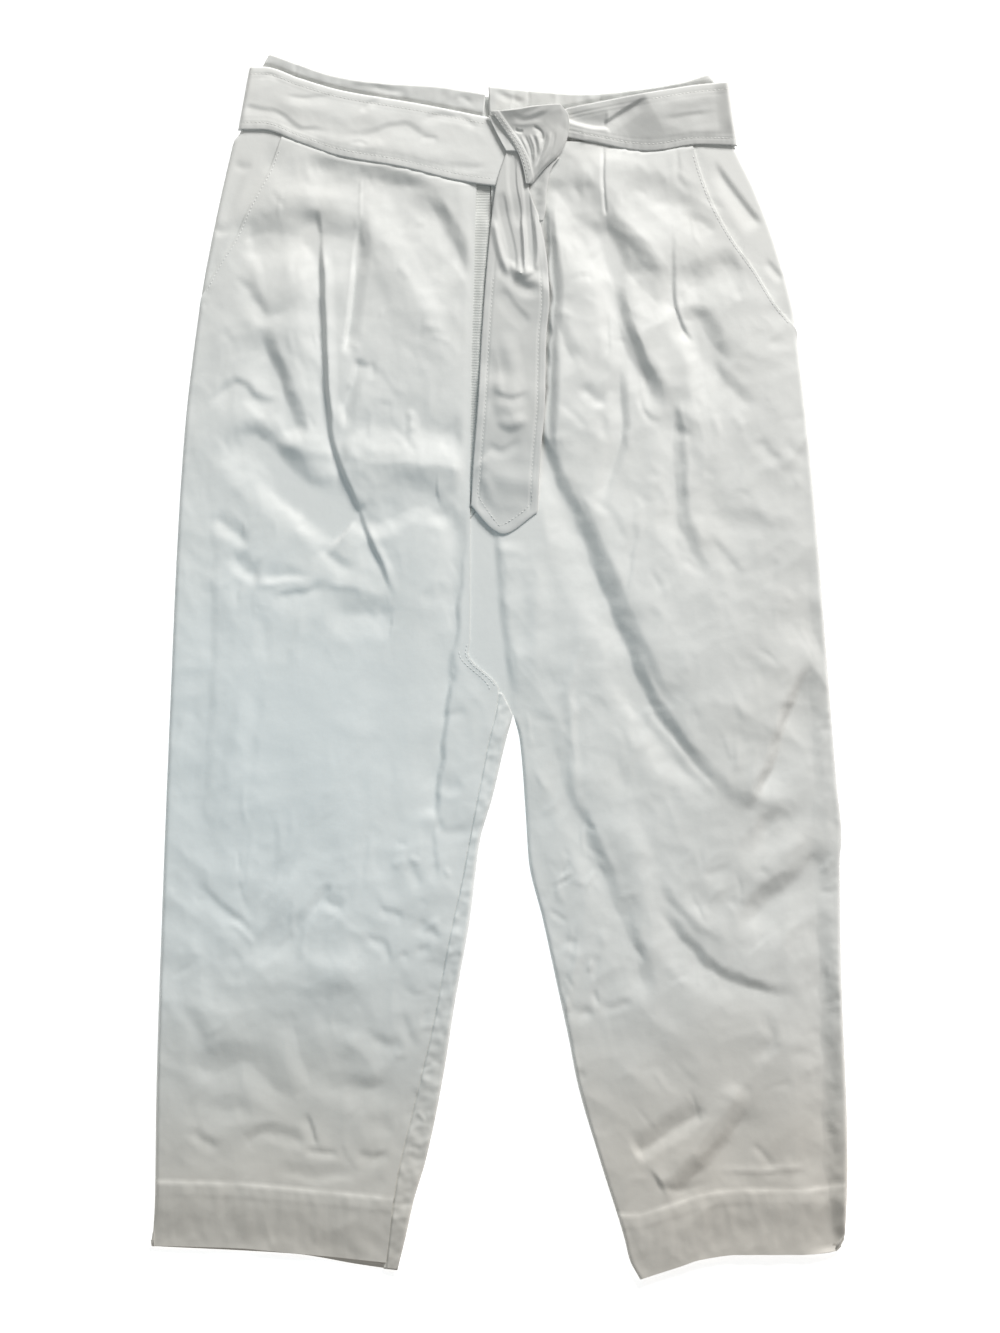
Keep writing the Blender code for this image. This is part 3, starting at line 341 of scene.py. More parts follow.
RIGHT_PLEATS = table(Crease, [
    ([(79.5, 408), (80, 370), (81.5, 348)], -1.3, 2, 2.4, 0.6, 0.02, 0.05),
    ([(81.5, 352), (83, 338), (86, 315), (88, 295), (90, 272), (94, 252), (100, 238), (108, 227),
      (115, 213), (112, 196)], -3.0, 15, 13, 0.3, 0.12, 0.12),
    ([(132, 344), (132.6, 310), (133.4, 285), (136, 272), (142, 258), (150, 248)],
     -2.3, 3.2, 11, 0.6, 0.55, 0.15),
    ([(91, 236), (93, 208), (94.5, 186), (91, 165), (84, 145), (75, 118)], -2.5, 7, 10, 0.4, 0.2, 0.3),
])
RIGHT_CREASES = table(Crease, [
    # drag lines from the knot
    ([(36, 378), (47, 360), (59, 347), (72, 333), (90, 313), (107, 294), (122, 280), (134, 270)],
     -3.0, 17, 28, 0.3, 0.1, 0.2),
    ([(54, 396), (72, 373), (92, 350), (112, 328), (130, 308), (142, 294)], 3.8, 34, 15, 0.2, 0.2, 0.2),
    ([(52, 352), (60, 334), (69, 316), (78, 294)], -1.2, 18, 14, 0.3),
    ([(224, 262), (240, 180), (252, 60), (256, -60)], 2.6, 28, 100, 0.1, 0.3, 0.4),
    # the plane between the darts
    ([(95, 304), (100, 280), (106, 260), (114, 240), (123, 220), (130, 200)], 3.6, 38, 9, 0.3, 0.2, 0.25),
    ([(131, 206), (133, 188), (133.5, 170), (134.5, 150), (136, 132), (137, 113), (145, 95), (154, 76),
      (162, 60)], -2.1, 8, 15, 0.3, 0.15, 0.2),
    ([(136, 214), (142, 185), (144, 160), (146, 132), (149, 112), (160, 88)], 1.8, 16, 6, 0.2, 0.15, 0.2),
    ([(111, 236), (113, 216), (109, 204), (113, 193), (122, 190), (128, 196)], -0.7, 4, 4, 0.4),
    ([(154, 106), (172, 88), (190, 66)], -0.7, 6, 10, 0.3),
    ([(144, 232), (150, 200), (156, 170), (160, 140)], 1.6, 16, 12, 0.1),
    # hip
    ([(145, 278), (156, 260), (166, 246), (181, 233)], -3.6, 14, 20, 0.3, 0.3),
    ([(146, 280), (152, 258), (156, 235), (160, 212), (162, 190)], -2.4, 20, 12, 0.2, 0.15, 0.4),
    ([(158, 243), (168, 226), (180, 212), (196, 196)], -1.6, 10, 12, 0.3),
    ([(136, 288), (154, 295), (170, 303), (188, 314)], -3.2, 21, 20, 0.2),
    ([(92, 366), (118, 358), (138, 356), (158, 354)], -2.2, 24, 24, 0.3, 0.15),
    ([(140, 346), (156, 340), (168, 330)], -1.0, 8, 12, 0.3),
    ([(40, 274), (50, 250), (62, 228)], -2.0, 10, 14, 0.3),
    ([(60, 218), (74, 207), (86, 205)], -1.6, 10, 6, 0.3),
    ([(84, 272), (83, 250), (82, 236)], -0.9, 3, 5, 0.5),
    ([(196, 176), (206, 166), (220, 158)], -0.8, 6, 8, 0.3),
    ([(240, 184), (228, 166), (218, 148)], 1.0, 6, 9, 0.4),
    ([(69, 129), (82, 121), (97, 93)], -0.6, 6, 8, 0.3),
    ([(108, 114), (100, 84), (94, 50)], -0.9, 4, 8, 0.3),
    # the deep fold beside the belt's end, across the thigh and up again behind the knee
    ([(28, 362), (31, 330), (33.5, 300), (33.5, 270), (31.5, 240), (30, 205), (27, 182), (32, 160)],
     -4.0, 10, 12, 0.3, 0.08, 0.08),
    ([(43, 372), (43.5, 330), (44.5, 300), (44.5, 260), (43, 225), (41.5, 196), (44, 174), (53, 150)],
     4.4, 36, 8.5, 0.1, 0.15, 0.2),
    ([(22, 182), (36, 156), (53, 120), (68, 84), (82, 50), (95, 20), (104, -6), (115, -30), (132, -53),
      (152, -76), (171, -98), (188, -118)], -5.0, 11, 22, 0.45, 0.04, 0.3),
    ([(52, 160), (72, 116), (90, 74), (107, 34), (124, -4), (146, -40)], 2.4, 26, 9, 0.1),
    ([(97, -24), (116, -50), (136, -75), (156, -95)], -1.1, 8, 16, 0.2),
    ([(106, -24), (123, -48), (143, -71), (168, -101)], 0.5, 4, 6, 0.2),
    ([(190, -112), (199, -94), (207, -75), (213, -57), (219, -39), (226, -20), (238, -2), (252, 6)],
     3.8, 34, 40, 0.3, 0.12, 0.1),
    ([(194, -116), (202, -97), (210, -78), (217, -59), (223, -40), (230, -21), (241, -2), (254, 5)],
     -6.0, 10, 24, 0.3, 0.3, 0.35),
    ([(188, -148), (200, -134), (213, -115), (220, -100)], -2.4, 14, 20, 0.2, 0.5, 0.3),
    ([(180, -206), (197, -192), (216, -176), (234, -164), (250, -150), (264, -138)],
     -4.6, 18, 24, 0.3, 0.3, 0.3),
    ([(176, -182), (198, -164), (216, -146), (238, -118)], 2.0, 26, 14, 0.2, 0.45, 0.3),
    ([(113, -180), (128, -196), (142, -213), (156, -229), (170, -238), (187, -245), (208, -251),
      (234, -254)], -3.2, 9, 18, 0.4, 0.3, 0.25),
    ([(118, -148), (132, -172), (148, -192), (165, -204), (182, -214)], 1.3, 12, 8, 0.3),
    ([(56, -104), (71, -140), (84, -171), (97, -205), (108, -236), (114, -264)],
     -1.9, 12, 16, 0.3, 0.3, 0.2),
    ([(86, -110), (104, -150), (116, -196), (120, -240)], 2.0, 14, 16, 0.1),
    ([(34, -36), (50, -94), (66, -128), (78, -160), (86, -188)], -1.4, 10, 14, 0.2),
    ([(75, 32), (60, 8), (52, -18), (56, -60), (61, -118)], 1.0, 5, 7, 0.3),
    # calf
    ([(40, -290), (150, -262), (266, -240)], 2.6, 90, 130, 0.2, 0.0, 0.0),
    ([(120, -398), (140, -383), (158, -362), (176, -338), (188, -322)], 2.6, 14, 16, 0.3, 0.05, 0.15),
    ([(102, -374), (122, -364), (140, -352), (160, -338)], -3.0, 16, 9, 0.3, 0.1, 0.2),
    ([(128, -404), (150, -394), (168, -378), (182, -356), (190, -332)], -2.6, 12, 24, 0.3, 0.15, 0.2),
    ([(52, -258), (62, -266), (73, -264)], -0.9, 10, 9, 0.3),
    ([(200, -264), (210, -285), (196, -306)], -1, 8, 8, 0.3),
    ([(62, -208), (55, -238), (52, -264)], 0.9, 6, 6, 0.3),
    ([(74, -262), (88, -264), (104, -258)], -0.8, 7, 5, 0.3),
    ([(160, -386), (200, -388), (248, -386)], 0.7, 4, 3, 0.4),
    ([(118, -400), (140, -402), (166, -399)], -0.9, 6, 4, 0.4),
    ([(192, -368), (204, -376), (212, -388)], -0.9, 5, 6, 0.4),
    # the pressed line beside the side seam
    ([(236, 92), (238, 30), (239, -25), (241, -90), (242, -160), (245, -229)],
     -1.4, 13, 20, 0.3, 0.1, 0.1),
    ([(242, -180), (245, -229), (248, -300), (249, -385), (254, -402), (258, -452)],
     -3.6, 15, 20, 0.3, 0.15, 0.02),
    ([(262, -212), (264, -250), (265, -310), (267, -390), (265, -442)], 3.0, 8, 15, 0.2, 0.15, 0.05),
    ([(243, -172), (252, -173), (262, -170)], -0.6, 4, 5, 0.3),
    # the crest beside the valley
    ([(2, 124), (4, 80), (8, 40), (13, 0), (18, -36)], 1.0, 16, 6, 0.3, 0.1),
    ([(26, 96), (28, 40), (30, -20)], 1.0, 12, 12),
])
POCKET_CREASES = table(Crease, [
    ([(162, 392), (171, 377), (185, 358), (201, 338)], -1.9, 5, 12, 0.3, 0.3, 0.15),
    ([(203, 314), (211, 305), (219, 296)], -0.9, 4, 5),
    ([(-196, 396), (-204, 368), (-214, 336)], -0.6, 8, 9),
    ([(-204, 338), (-214, 335), (-224, 340)], -0.9, 5, 6, 0.3),
    ([(-190, 386), (-198, 384), (-206, 388)], -0.6, 5, 5, 0.3),
])
LEFT_SWELLS = table(Swell, [
    (-174, 296, 34, 24, -20, 0.7),
    (-60, 90, 40, 120, 8, 1.5),
    (-176, 352, 50, 36, 0, 1.4),
    (-160, 250, 70, 90, 0, 1.2),
    (-200, -60, 40, 150, 2, 1.2),
    (-130, -120, 60, 130, 6, 1.0),
    (-190, -330, 60, 60, 0, -0.8),
    (-90, -270, 50, 90, 12, 1.0),
])
RIGHT_SWELLS = table(Swell, [
    (150, 20, 70, 160, 24, 2.6),
    (70, 40, 36, 120, -14, 1.2),
    (218, -330, 46, 80, 0, 1.4),
    (90, -150, 30, 120, 18, 1.2),
    (68, 280, 28, 90, 6, 1.3),
    (200, 250, 60, 90, 20, 1.6),
])
# Where the cloth lies smoother than elsewhere: here the rise is the share of the crumple that is gone
CALM = {
    "left": table(Swell, [
        (-140, -40, 120, 150, 0, 0.8),
        (-60, 0, 50, 140, 0, 0.6),
        (-160, -330, 160, 130, 0, 0.5),
    ]),
    "right": table(Swell, [
        (60, 60, 40, 140, -14, 0.5),
        (160, -320, 150, 120, 0, 0.5),
    ]),
}
WRINKLES = {
    "left": table(Wrinkles, [
        (40, (-235, 240), (-30, 400), -70, 40, (10, 30), (2.5, 5), 0.35),
        (40, (-250, 30), (-30, 240), -60, 45, (12, 40), (3, 7), 0.35),
        (30, (-262, -160), (-50, 30), -100, 25, (20, 60), (3, 8), 0.3),
        (60, (-262, -395), (-40, -150), -45, 70, (10, 36), (3, 8), 0.4),
        (26, (-80, -400), (-20, -120), 20, 40, (8, 18), (2, 5), 0.6),
    ]),
    "right": table(Wrinkles, [
        (40, (45, 240), (225, 400), -60, 40, (10, 30), (2.5, 5), 0.35),
        (44, (40, 40), (240, 240), -65, 35, (12, 36), (3, 7), 0.4),
        (40, (20, -180), (245, 40), -70, 40, (14, 40), (3, 8), 0.35),
        (60, (30, -395), (250, -150), -50, 60, (10, 36), (3, 8), 0.4),
        (40, (246, -395), (264, 40), 5, 35, (7, 16), (2.5, 5), 0.35),
        (30, (30, -400), (80, -120), -80, 30, (10, 26), (2.5, 5), 0.6),
    ]),
}
BELT_CREASES = table(Crease, [
    ([(-198, 431), (-178, 427), (-165, 422), (-154, 414), (-140, 413), (-130, 410)],
     -1.6, 4, 8, 0.4, 0.1),
    ([(-122, 412), (-100, 410), (-85, 415), (-70, 416), (-60, 410), (-47, 407)], -1.6, 5, 9, 0.3),
    ([(-192, 442), (-150, 430), (-110, 424), (-70, 424)], 0.9, 9, 10),
    ([(-182, 424), (-150, 408), (-110, 402), (-70, 398)], 0.9, 6, 8),
    ([(-168, 440), (-146, 438), (-126, 441)], -1.0, 3, 6, 0.4),
    ([(-108, 427), (-101, 434), (-92, 435)], -1.0, 3, 5, 0.4),
    ([(-62, 417), (-48, 425), (-28, 422)], -1.2, 4, 6, 0.4),
    ([(-36, 428), (-26, 421), (-16, 414)], -1.0, 4, 6, 0.3),
    ([(-62, 409), (-54, 407), (-46, 405)], -1.0, 3, 4, 0.4),
    ([(-44, 386), (-20, 384), (0, 386)], -0.9, 5, 4, 0.3),
    ([(-90, 400), (-60, 394), (-34, 392)], 0.7, 8, 8),
    ([(-186, 452), (-178, 456), (-168, 453)], -0.7, 3, 4, 0.4),
    ([(-116, 402), (-108, 404), (-100, 401)], -0.8, 3, 4, 0.4),
    ([(122, 421), (146, 424), (168, 426)], -1.0, 4, 6, 0.3),
    ([(126, 432), (150, 436), (172, 438)], 0.7, 6, 6),
    ([(128, 410), (150, 412), (176, 414)], 0.7, 5, 5),
])
# The strap's twist beside the knot and its right fold
TWIST_CREASES = table(Crease, [
    ([(48, 424), (60, 420), (72, 417), (82, 416.5)], -2.6, 14, 3, 0.4, 0.02, 0.02),
    ([(80, 416.5), (94, 426), (106, 433), (114, 438)], -2.2, 3, 7, 0.4, 0.02, 0.3),
    ([(98, 470), (108, 446), (120, 424), (133, 401)], 4.4, 42, 27, 0.3, 0.0, 0.4),
    ([(54, 404), (68, 406), (84, 402), (96, 397)], 1.2, 12, 5, 0.2),
    ([(176, 456), (179, 425), (182, 404)], 2.6, 5, 13, 0.2, 0.0, 0.4),
])
BAND_CREASES = table(Crease, [
    ([(-156, 470), (-158, 448)], -0.6, 1.4, 2.4, 0.5, 0.0, 0.0),
    ([(-100, 448), (-88, 445), (-74, 443)], -0.8, 3, 4),
    ([(-120, 452), (-100, 450), (-84, 452)], 0.6, 4, 4),
    ([(-34, 441), (-26, 437), (-22, 432)], -0.7, 3, 4),
    ([(-6, 444), (8, 438), (22, 434)], -0.8, 3, 4),
    ([(22, 450), (22.3, 428)], -0.7, 1.2, 2.0, 0.6, 0.0, 0.0),
    ([(43, 446), (43, 428)], 0.5, 2, 6, 0.5, 0.0, 0.0),
    ([(77, 444), (78, 436)], -0.5, 1.4, 2.0, 0.4, 0.0, 0.0),
    ([(94, 445), (95, 439)], -0.5, 1.4, 2.0, 0.4, 0.0, 0.0),
])
END_CREASES = table(Crease, [
    ([(10.5, 396), (11, 372), (14, 355), (16, 336)], -2.2, 2.5, 5.0, 0.4, 0.02, 0.25),
    ([(19, 390), (21, 368), (22.5, 348), (24, 328), (24.5, 309)], -2.2, 2.5, 3.5, 0.4, 0.1, 0.2),
    ([(16, 352), (18, 332), (19, 312), (20, 302)], 1.6, 2.5, 2.5, 0.2, 0.3, 0.1),
    ([(26, 354), (28, 335), (29, 318), (27, 304)], 1.4, 4.0, 3.0, 0.2, 0.3, 0.1),
    ([(1, 367), (4, 347), (9, 326), (12.5, 303)], -2.4, 3.0, 5.0, 0.3, 0.2, 0.2),
    ([(-5, 346), (-1, 325), (4, 308), (7, 300)], 1.6, 3.0, 5.0, 0.2, 0.2, 0.15),
    ([(11, 306), (19, 302), (28, 306)], 1.2, 4, 3),
    ([(-3, 311), (6, 304), (12, 297), (22, 291), (34, 294)], -1.8, 7, 7, 0.2),
    ([(0, 292), (9, 277), (24, 262)], -1.3, 6, 8, 0.2),
    ([(-18, 212), (8, 205), (36, 210)], 1.2, 18, 60, 0.2, 0.0, 0.0),
    ([(2, 309), (18, 303), (38, 288)], 1.7, 9, 26, 0.2, 0.2, 0.0),
    ([(-8, 226), (4, 206), (16, 178)], 1.2, 12, 13, 0.2, 0.2, 0.3),
    ([(-16, 160), (0, 146), (20, 142)], 1.2, 12, 16, 0.2, 0.1, 0.0),
    ([(3, 262), (10, 225), (14, 196)], 0.9, 8, 9),
    ([(-10, 250), (-6, 215), (-8, 190)], -0.7, 7, 8),
    ([(-8, 212), (8, 206), (24, 211)], -0.9, 4, 6, 0.2),
    ([(-4, 192), (8, 186), (22, 192)], 0.9, 6, 6),
    ([(-12, 172), (2, 166), (18, 176)], -0.8, 5, 6, 0.2),
    ([(-17, 140), (-12, 128), (0, 119), (19, 121)], -1.3, 3, 6, 0.4),
    ([(-14, 150), (-10, 140), (-4, 130)], 0.7, 5, 5),
])
KNOT_CREASES = table(Crease, [
    ([(12, 411), (18, 398), (21, 384)], -0.9, 1.3, 1.6, 0.4, 0.2, 0.3),
    ([(15.5, 410), (20.5, 396), (22.6, 382)], 1.0, 1.5, 1.5, 0.3, 0.2, 0.3),
    ([(18.5, 410), (23.5, 397), (24, 384)], -1.0, 1.4, 1.6, 0.4, 0.2, 0.3),
    ([(22, 411), (26.5, 398), (26, 384)], 1.0, 1.6, 1.6, 0.3, 0.2, 0.3),
    ([(25, 416), (32, 411), (33, 403)], -1.6, 1.6, 2.4, 0.5, 0.2, 0.2),
    ([(27, 411), (30, 402), (30, 392)], 1.8, 2.4, 2.6, 0.2, 0.2, 0.4),
    ([(36, 411), (33, 398), (27.5, 384)], -1.2, 1.6, 1.8, 0.3, 0.2, 0.3),
    ([(39, 412), (36, 398), (29, 384)], 1.0, 1.8, 1.8, 0.3, 0.2, 0.3),
    ([(43, 412), (40, 398), (34, 386)], -0.8, 1.6, 1.8, 0.3, 0.2, 0.3),
    ([(11, 413), (15, 411.5), (18, 412)], -1.6, 2.0, 1.6, 0.3, 0.2, 0.2),
    ([(4, 425), (16, 421), (30, 423), (42, 428)], -0.8, 4, 6),
    ([(12, 420), (26, 424), (40, 430)], 0.7, 3, 3),
    ([(6, 419), (18, 417), (34, 419)], 0.8, 3, 3),
    ([(46, 420), (42, 406), (34, 390), (26, 378)], 0.9, 4, 4),
])


def smooth_route(points, steps=5):
    """A route's points with more between them, on a curve through them all."""
    points = np.array(points, float)
    ends = np.vstack((2 * points[0] - points[1], points, 2 * points[-1] - points[-2]))
    t = np.linspace(0, 1, steps, endpoint=False)[:, None]
    spans = []
    for a, b, c, d in zip(ends[:-3], ends[1:-2], ends[2:-1], ends[3:]):
        spans.append(b + 0.5 * t * (c - a + t * (2 * a - 5 * b + 4 * c - d + t * (3 * (b - c) + d - a))))
    return np.vstack((*spans, points[-1:]))


FAR_SIDE = 1.3      # how much wider a crease's gentle far side is than the table says


def relief(creases, x, y):
    """Height that creases add at each point."""
    total = np.zeros_like(x)
    for crease in creases:
        route = smooth_route(crease.route)
        left = crease.left * (FAR_SIDE if crease.rise > 0 else 1)
        right = crease.right * (FAR_SIDE if crease.rise < 0 else 1)
        reach = max(left, right)
        low, high = route.min(0) - reach, route.max(0) + reach
        inside = (x > low[0]) & (x < high[0]) & (y > low[1]) & (y < high[1])
        if not inside.any():
            continue
        at_x, at_y = x[inside], y[inside]
        lengths = np.hypot(*np.diff(route, axis=0).T)
        starts = np.concatenate(([0], np.cumsum(lengths)))
        nearest = np.full(at_x.shape, np.inf)
        place = np.zeros_like(at_x)
        side = np.zeros_like(at_x)
        for near, far, length, start in zip(route[:-1], route[1:], lengths, starts):
            run = far - near
            share = np.clip(((at_x - near[0]) * run[0] + (at_y - near[1]) * run[1]) / (run @ run), 0, 1)
            off_x = at_x - near[0] - share * run[0]
            off_y = at_y - near[1] - share * run[1]
            apart = np.hypot(off_x, off_y)
            closer = apart < nearest
            nearest = np.where(closer, apart, nearest)
            place = np.where(closer, (start + share * length) / starts[-1], place)
            side = np.where(closer, run[0] * off_y - run[1] * off_x, side)
        away = np.clip(nearest / np.where(side > 0, left, right), 0, 1)
        slope = (1 - away) ** 2 * (1 + 2 * away * (1 - crease.crisp))
        head = smooth_step(0, crease.head, place) if crease.head else 1
        foot = smooth_step(1, 1 - crease.foot, place) if crease.foot else 1
        total[inside] += crease.rise * slope * head * foot
    return total


def swelling(swells, x, y):
    """Height that broad humps and hollows add at each point."""
    total = np.zeros_like(x)
    for swell in swells:
        turn = math.radians(swell.turn)
        across = ((x - swell.x) * math.cos(turn) + (y - swell.y) * math.sin(turn)) / swell.wide
        along = ((y - swell.y) * math.cos(turn) - (x - swell.x) * math.sin(turn)) / swell.long
        total += swell.rise * np.clip(1 - across ** 2 - along ** 2, 0, 1) ** 2
    return total


WRINKLE_BOW = 0.25              # how far a small crease bows, as a share of its half length
WRINKLE_HEIGHTS = (0.5, 1.3)    # its height, as a share of its group's
WRINKLE_SKEW = (0.7, 1.5)       # how wide its right slope is against its left one
WRINKLE_CRISP, WRINKLE_FADE = 0.2, 0.35


def scattered(groups, seed):
    """Small uneven creases strewn over the cloth."""
    draw = np.random.default_rng(seed)
    found = []
    for group in groups:
        for _ in range(group.count):
            middle = draw.uniform(group.low, group.high)
            angle = math.radians(group.lean + draw.normal() * group.spread)
            half = draw.uniform(*group.length) / 2 * np.array((math.cos(angle), math.sin(angle)))
            bow = draw.uniform(-WRINKLE_BOW, WRINKLE_BOW) * np.array((-half[1], half[0]))
            width = draw.uniform(*group.width)
            rise = group.rise * draw.uniform(*WRINKLE_HEIGHTS) * draw.choice((-1, 1))
            far_width = width * draw.uniform(*WRINKLE_SKEW)
            found.append(Crease([middle - half, middle + bow, middle + half], rise, width, far_width,
                                WRINKLE_CRISP, WRINKLE_FADE, WRINKLE_FADE))
    return found


CELLS = 128             # how many cells the crumple has before it repeats
CELL_SHIFT = 40         # moves the garment's middle into them
CRUMPLE_GAIN = 1.6      # makes its hills about one high


def crumple(x, y, size, seed):
    """Soft uneven hills and dips, a given size across and about one high."""
    angles = np.random.default_rng(seed).uniform(0, 2 * np.pi, (CELLS, CELLS))
    u, v = x / size + CELL_SHIFT, y / size + CELL_SHIFT
    i, j = np.floor(u).astype(int), np.floor(v).astype(int)
    u, v = u - i, v - j
    ease_u, ease_v = u * u * u * (u * (6 * u - 15) + 10), v * v * v * (v * (6 * v - 15) + 10)

    def corner(right, up):
        angle = angles[(i + right) % CELLS, (j + up) % CELLS]
        return np.cos(angle) * (u - right) + np.sin(angle) * (v - up)

    low = between(corner(0, 0), corner(1, 0), ease_u)
    high = between(corner(0, 1), corner(1, 1), ease_u)
    return CRUMPLE_GAIN * between(low, high, ease_v)


WANDER, WANDER_SIZE = 0.3, 1.7      # how far crisp creases wander and over what length, in their sizes
CREST_LEVEL = 0.35                  # how high their crests stand over the planes' middle height
CREST_BLUNTNESS = 0.002
BEND_SEED, HILL_SEED = 50, 90       # what their seeds add, so that no two draws are the same


def creased(x, y, size, seed):
    """Meandering crisp creases with soft planes between, a given size across."""
    bend_x = WANDER * size * crumple(x, y, size * WANDER_SIZE, seed + BEND_SEED)
    bend_y = WANDER * size * crumple(y, x, size * WANDER_SIZE, seed)
    hills = crumple(x + bend_x, y + bend_y, size, seed + HILL_SEED)
    return CREST_LEVEL - np.sqrt(hills ** 2 + CREST_BLUNTNESS)


def rippled(ripples, x, y, shape=crumple):
    """Height that ripples of a shape, soft or creased, add up to."""
    return sum(ripple.height * shape(x, y, ripple.size, ripple.seed) for ripple in ripples)


def ease_floor(z, low, ease=0.5):
    """Keep a surface above a height, with a soft landing on it."""
    return low + ease * np.logaddexp(0, (z - low) / ease)


SHAPES = {
    "left": (LEFT_CREASES, LEFT_PLEATS, LEFT_SWELLS),
    "right": (RIGHT_CREASES, RIGHT_PLEATS, RIGHT_SWELLS),
}
FIRST_SEED = 7
SCATTERED = {
    side: scattered(groups, seed)
    for seed, (side, groups) in enumerate(WRINKLES.items(), start=FIRST_SEED)
}

# How the folds of the fronts bend and differ along their way, and the crumple between them
BEND_X = [Ripple(2.0, 21, 41), Ripple(0.5, 7, 42)]
BEND_Y = [Ripple(2.0, 21, 43), Ripple(0.5, 7, 44)]
FOLD_SHARE, FOLD_UNEVENNESS = 0.95, [Ripple(0.25, 34, 45)]
PLEAT_BEND = [Ripple(0.7, 26, 48)]
PLANES, CROSS_PLANES = [Ripple(1.4, 52, 3), Ripple(0.16, 11, 8)], [Ripple(0.55, 24, 6)]
HEAVE = [Ripple(0.5, 40, 3)]
# Stretches below the belt: where ridges and troughs get free of it, and where the cloth swells out
RIDGE_FREED, TROUGH_FREED = 12.0, 6.0
PUFF, PUFF_HEAD, PUFF_FOOT = 1.5, 0.6, 38.0
UNDER_STRAP = 1.0       # how far in under the belt's lower edge they begin
# The same beside the long end and below its point
END_SIDE_FREED, END_POINT_FREED = (2.0, 12.0), (98.0, 88.0)


def below_belt(x, y, reach):
    """0 under the belt's front runs, 1 from a reach below them."""
    low = np.where(x < BELT_LEFT_REACH, BELT_LEFT_LOW(x), BELT_RIGHT_LOW(x))
    return smooth_step(-UNDER_STRAP, reach, low - y)


def beside_end(x, y):
    """0 under the belt's hanging end, 1 well beside or below it."""
    outside = np.maximum(END_LEFT(y) - x, x - END_RIGHT(y))
    return np.maximum(smooth_step(*END_SIDE_FREED, outside), smooth_step(*END_POINT_FREED, y))


def cloth_relief(side, x, y):
    """All the folds of a front, kept off what lies on it."""
    creases, pleats, swells = SHAPES[side]
    bent_x, bent_y = x + rippled(BEND_X, x, y), y + rippled(BEND_Y, x, y)
    folds = relief(creases, bent_x, bent_y) * (FOLD_SHARE + rippled(FOLD_UNEVENNESS, x, y))
    folds = folds + relief(pleats, x + rippled(PLEAT_BEND, x, y), y)
    unrest = 1 - np.clip(swelling(CALM[side], x, y), 0, 1)
    planes = rippled(PLANES, x, y, creased) + rippled(CROSS_PLANES, y, x, creased)
    small = relief(SCATTERED[side], bent_x, bent_y) + planes
    height = folds + swelling(swells, x, y) + small * unrest + rippled(HEAVE, x, y)
    end_freed = beside_end(x, y)
    freed = np.where(height > 0, end_freed * below_belt(x, y, RIDGE_FREED), below_belt(x, y, TROUGH_FREED))
    puffed = PUFF * below_belt(x, y, PUFF_HEAD) * (1 - below_belt(x, y, PUFF_FOOT)) * end_freed
    return height * freed + puffed


FLY_LEVEL = 14.0        # stretch beside the fly's edge over which the left front gets its folds
CROTCH_LEVEL = (CROTCH + 30, CROTCH - 20)       # heights between which it gets them there too


def left_surface(x, y):
    """Upper face of the left front, level along the edge that other pieces lie under."""
    loose = np.maximum(smooth_step(0, FLY_LEVEL, LEFT_CENTRE(y) - x), smooth_step(*CROTCH_LEVEL, y))
    height = FRONT_TOP + cloth_relief("left", x, y) * loose
    beside_fly = smooth_step(FLY_DIP_REACH, 0, LEFT_CENTRE(y) - x) * smooth_step(*FLY_DIP_FOOT, y)
    return ease_floor(height - FLY_DIP * beside_fly * smooth_step(*FLY_DIP_HEAD, y), LOWEST_TOP)


WRAP_PLANES, WRAP_CRUMPLE = [Ripple(0.8, 17, 61)], [Ripple(0.4, 7, 62)]
WRAP_STRETCH = 0.7          # draws its creases out across the strip
WRAP_LOWEST = LOWEST_TOP + 0.3
WRAP_SUNK = WALL + 0.15     # how far it lies below the front where it goes under the front's edge
WRAP_LANDING = 1.6          # stretch over which it comes out from there


def wrap_surface(x, y):
    """Upper face of the left back's turned-over strip."""
    height = FRONT_TOP + cloth_relief("left", x, y)
    gathers = rippled(WRAP_PLANES, x * WRAP_STRETCH, y, creased) + rippled(WRAP_CRUMPLE, x, y)
    under = smooth_step(WRAP_TUCK + WRAP_LANDING, WRAP_TUCK, x - LEFT_CENTRE(y) + WRAP_TUCK)
    return ease_floor(height + gathers * (1 - under), WRAP_LOWEST) - WRAP_SUNK * under


def right_surface(x, y):
    """Upper face of the right front, which dips below the fly to lie under the left one's edge."""
    height = FRONT_TOP + cloth_relief("right", x, y)
    top = ease_floor(height, LOWEST_TOP)
    tucked = smooth_step(VALLEY_SLOPE, 0, x - VALLEY(y))
    tucked = tucked * smooth_step(*TUCK_HEAD, y) * smooth_step(*TUCK_FOOT, y)
    return between(top, TUCKED_TOP, tucked)


BAND_TOP = FRONT_TOP - 0.7
BAND_LEAN, BAND_LEAN_REACH = 0.13, 18.0         # how the waistband leans up from the belt's edge
BAND_DIP, BAND_DIP_REACH = 1.2, (3.5, 0.5)      # and dips close beside it
BAND_PLANES, BAND_CRUMPLE = [Ripple(0.5, 17, 9)], [Ripple(0.25, 9, 4)]
BAND_STRETCH = 1.5          # makes its crumple narrower than it is high


def band_surface(x, y):
    """Upper face of the waistband's fronts, which dip towards the belt's upper edge."""
    above_belt = y - np.where(x < BELT_LEFT_REACH, BELT_LEFT_TOP(x), BELT_RIGHT_TOP(x))
    lean = BAND_LEAN * np.clip(above_belt, 0, BAND_LEAN_REACH)
    height = BAND_TOP + lean - BAND_DIP * smooth_step(*BAND_DIP_REACH, above_belt)
    height = height + relief(BAND_CREASES, x, y) + rippled(BAND_PLANES, x, y, creased)
    return height + rippled(BAND_CRUMPLE, x * BAND_STRETCH, y)


FACING_GAP = 0.1            # how far below the front a facing lies
FACING_CLIMB = 16.0         # stretch over which it comes level beyond the pocket's edge


